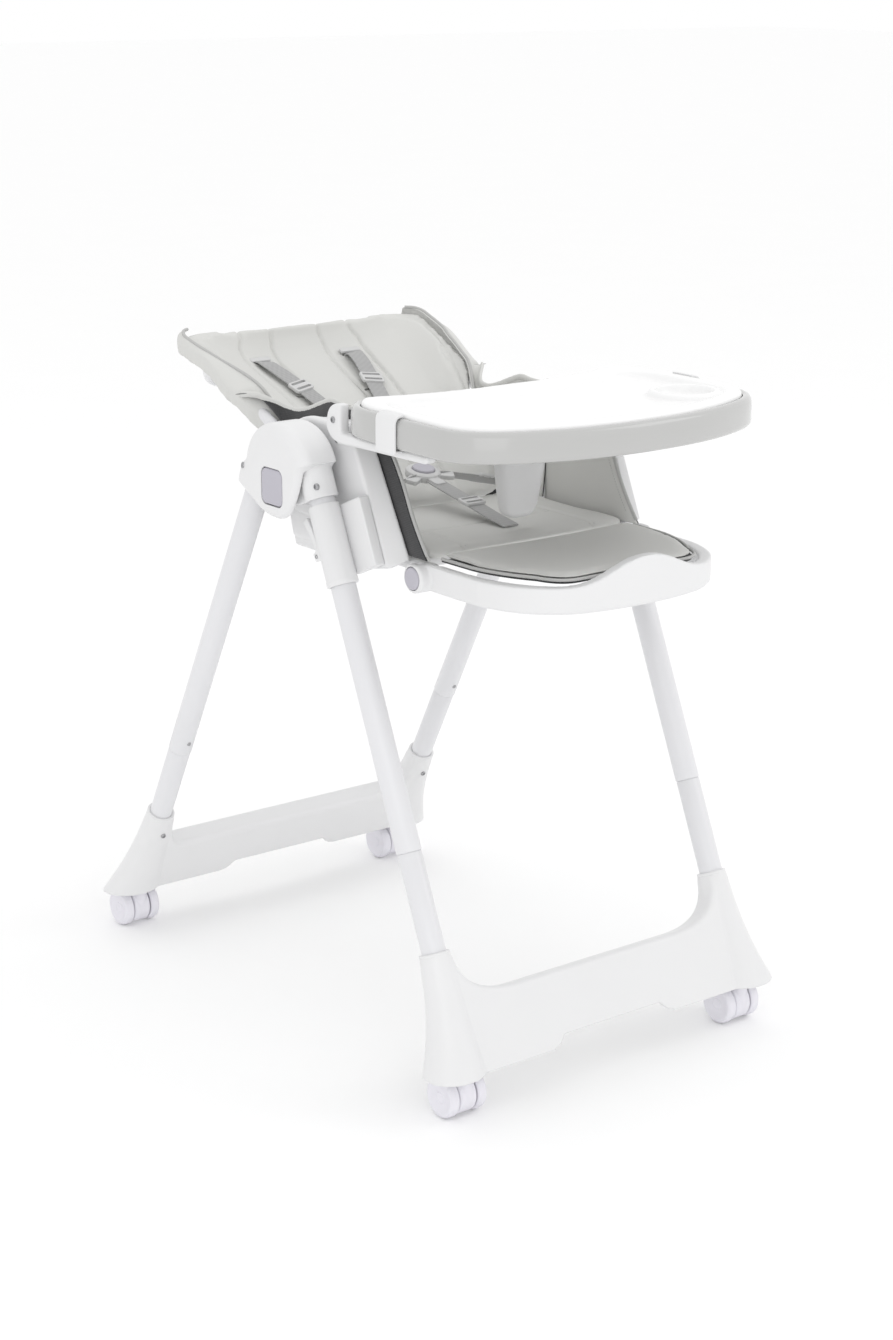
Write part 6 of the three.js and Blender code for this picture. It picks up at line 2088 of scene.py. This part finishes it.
@dataclass
class Studio:
    """The pale floor, the soft light and the camera."""

    eye: tuple[float, float, float] = (-1.9075, -2.5410, 1.3707)
    azimuth: float = -37.404
    elevation: float = 16.398
    roll: float = 0.221
    lens: float = 66.2
    floor_half: float = 30
    floor_z: float = -0.0006

    def camera(self) -> None:
        """Sets the camera."""
        turn, rise, twist = (math.radians(v) for v in (self.azimuth, self.elevation, self.roll))
        back = Vector((math.sin(turn) * math.cos(rise), -math.cos(turn) * math.cos(rise), math.sin(rise)))
        right = Vector((0, 0, 1)).cross(back).normalized()
        up = back.cross(right)
        level = right * math.cos(twist) + up * math.sin(twist)
        upright = up * math.cos(twist) - right * math.sin(twist)
        data = bpy.data.cameras.new("camera")
        data.lens, data.sensor_width, data.sensor_fit = self.lens, 36, "AUTO"
        data.clip_end = 100
        camera = bpy.data.objects.new("camera", data)
        aim = Matrix((level, upright, back)).transposed().to_4x4()
        camera.matrix_world = Matrix.Translation(self.eye) @ aim
        bpy.context.scene.collection.objects.link(camera)
        bpy.context.scene.camera = camera

    def floor(self) -> None:
        """Lays the floor."""
        work = bmesh.new()
        for x, y in ((-1, -1), (1, -1), (1, 1), (-1, 1)):
            work.verts.new((x * self.floor_half, y * self.floor_half, self.floor_z))
        work.faces.new(work.verts)
        mesh = bpy.data.meshes.new("studio_floor")
        work.to_mesh(mesh)
        work.free()
        floor = bpy.data.objects.new("studio_floor", mesh)
        bpy.context.scene.collection.objects.link(floor)
        pale = bpy.data.materials.new("studio_paper")
        pale.use_nodes = True
        graph, shader = Graph(pale.node_tree), pale.node_tree.nodes["Principled BSDF"]
        paper = graph.mix(graph.noise(3, 2), (0.98, 0.98, 0.98, 1), (0.99, 0.99, 0.99, 1))
        pale.node_tree.links.new(paper.socket, shader.inputs["Base Color"])
        shader.inputs["Roughness"].default_value = 0.95
        shader.inputs["Specular IOR Level"].default_value = 0.1
        mesh.materials.append(pale)

    def _light(self, name: str, place: Sequence[float], aim: Sequence[float], size: float,
               power: float) -> None:
        """Adds a square soft light."""
        data = bpy.data.lights.new(name, "AREA")
        data.shape, data.size, data.energy = "SQUARE", size, power
        light = bpy.data.objects.new(name, data)
        way = Vector(aim) - Vector(place)
        light.matrix_world = Matrix.Translation(place) @ way.to_track_quat("-Z", "Y").to_matrix().to_4x4()
        bpy.context.scene.collection.objects.link(light)

    def lights(self) -> None:
        """Hangs the lights and the white surroundings."""
        middle = (0, 0, 0.5)
        self._light("overhead", (0.2, 0.1, 3.2), middle, 3.0, 6)
        self._light("key", (2.4, -2.2, 2.8), middle, 1.8, 11)
        self._light("fill", (-2.2, -3.0, 1.3), middle, 2.4, 13)
        world = bpy.data.worlds.new("studio")
        world.use_nodes = True
        sky = world.node_tree.nodes["Background"]
        sky.inputs["Color"].default_value = (1, 1, 1, 1)
        sky.inputs["Strength"].default_value = 1.0
        bpy.context.scene.world = world
        bpy.context.scene.view_settings.view_transform = "Standard"

    def build(self) -> None:
        """Sets everything up."""
        self.camera()
        self.floor()
        self.lights()


class Chair:
    """The whole high chair."""

    snap_rise = 22

    def __init__(self) -> None:
        """Sets the legs out, since everything else stands by them."""
        self.front = Leg("front", "front_frame", -23.72, -53.7, -12, -489, -616)
        self.rear = Leg("rear", "rear_frame", 27.63, 53.7, 10, -517, -640)
        self.trim = Trim()

    def undercarriage(self) -> None:
        """Builds the legs, feet, casters, hubs and sleeves."""
        for leg, run in ((self.front, 82), (self.rear, 26)):
            leg.tubes()
            Foot(leg, run).build(self.trim)
            snaps = [leg.marker(side, leg.seam + self.snap_rise) for side in SIDES.values()]
            self.trim.at_points(f"{leg.name}_leg_snaps", "snap", snaps, Look.STEEL, leg.body)
            for side in SIDES:
                Caster().build(f"{leg.name}_{side}")
        for side in SIDES:
            Hub(self.front, self.rear).build(side, self.trim)
            Sleeve(self.front).build(side, self.trim)

    def upper(self) -> None:
        """Builds the seat, footrest, backrest, tray and harness."""
        Seat().build(self.trim)
        Footrest().build(self.trim)
        Backrest().build(self.trim)
        Tray().build()
        Harness().build()

    def hidden_parts(self) -> None:
        """Dresses the CAD parts that stay as they are, out of sight."""
        for side in SIDES:
            pin = frame["nodes"][f"hinge_pin_{side}"]
            for slot in pin.material_slots:
                slot.material = Look.STEEL.material

    def build(self) -> None:
        """Builds every part of the chair."""
        self.undercarriage()
        self.hidden_parts()
        self.upper()
        self.trim.clear()


def main() -> None:
    """Builds the chair and its studio."""
    logging.basicConfig(level=logging.INFO, format="%(name)s: %(message)s")
    Chair().build()
    Studio().build()


if __name__ == "__main__":
    main()
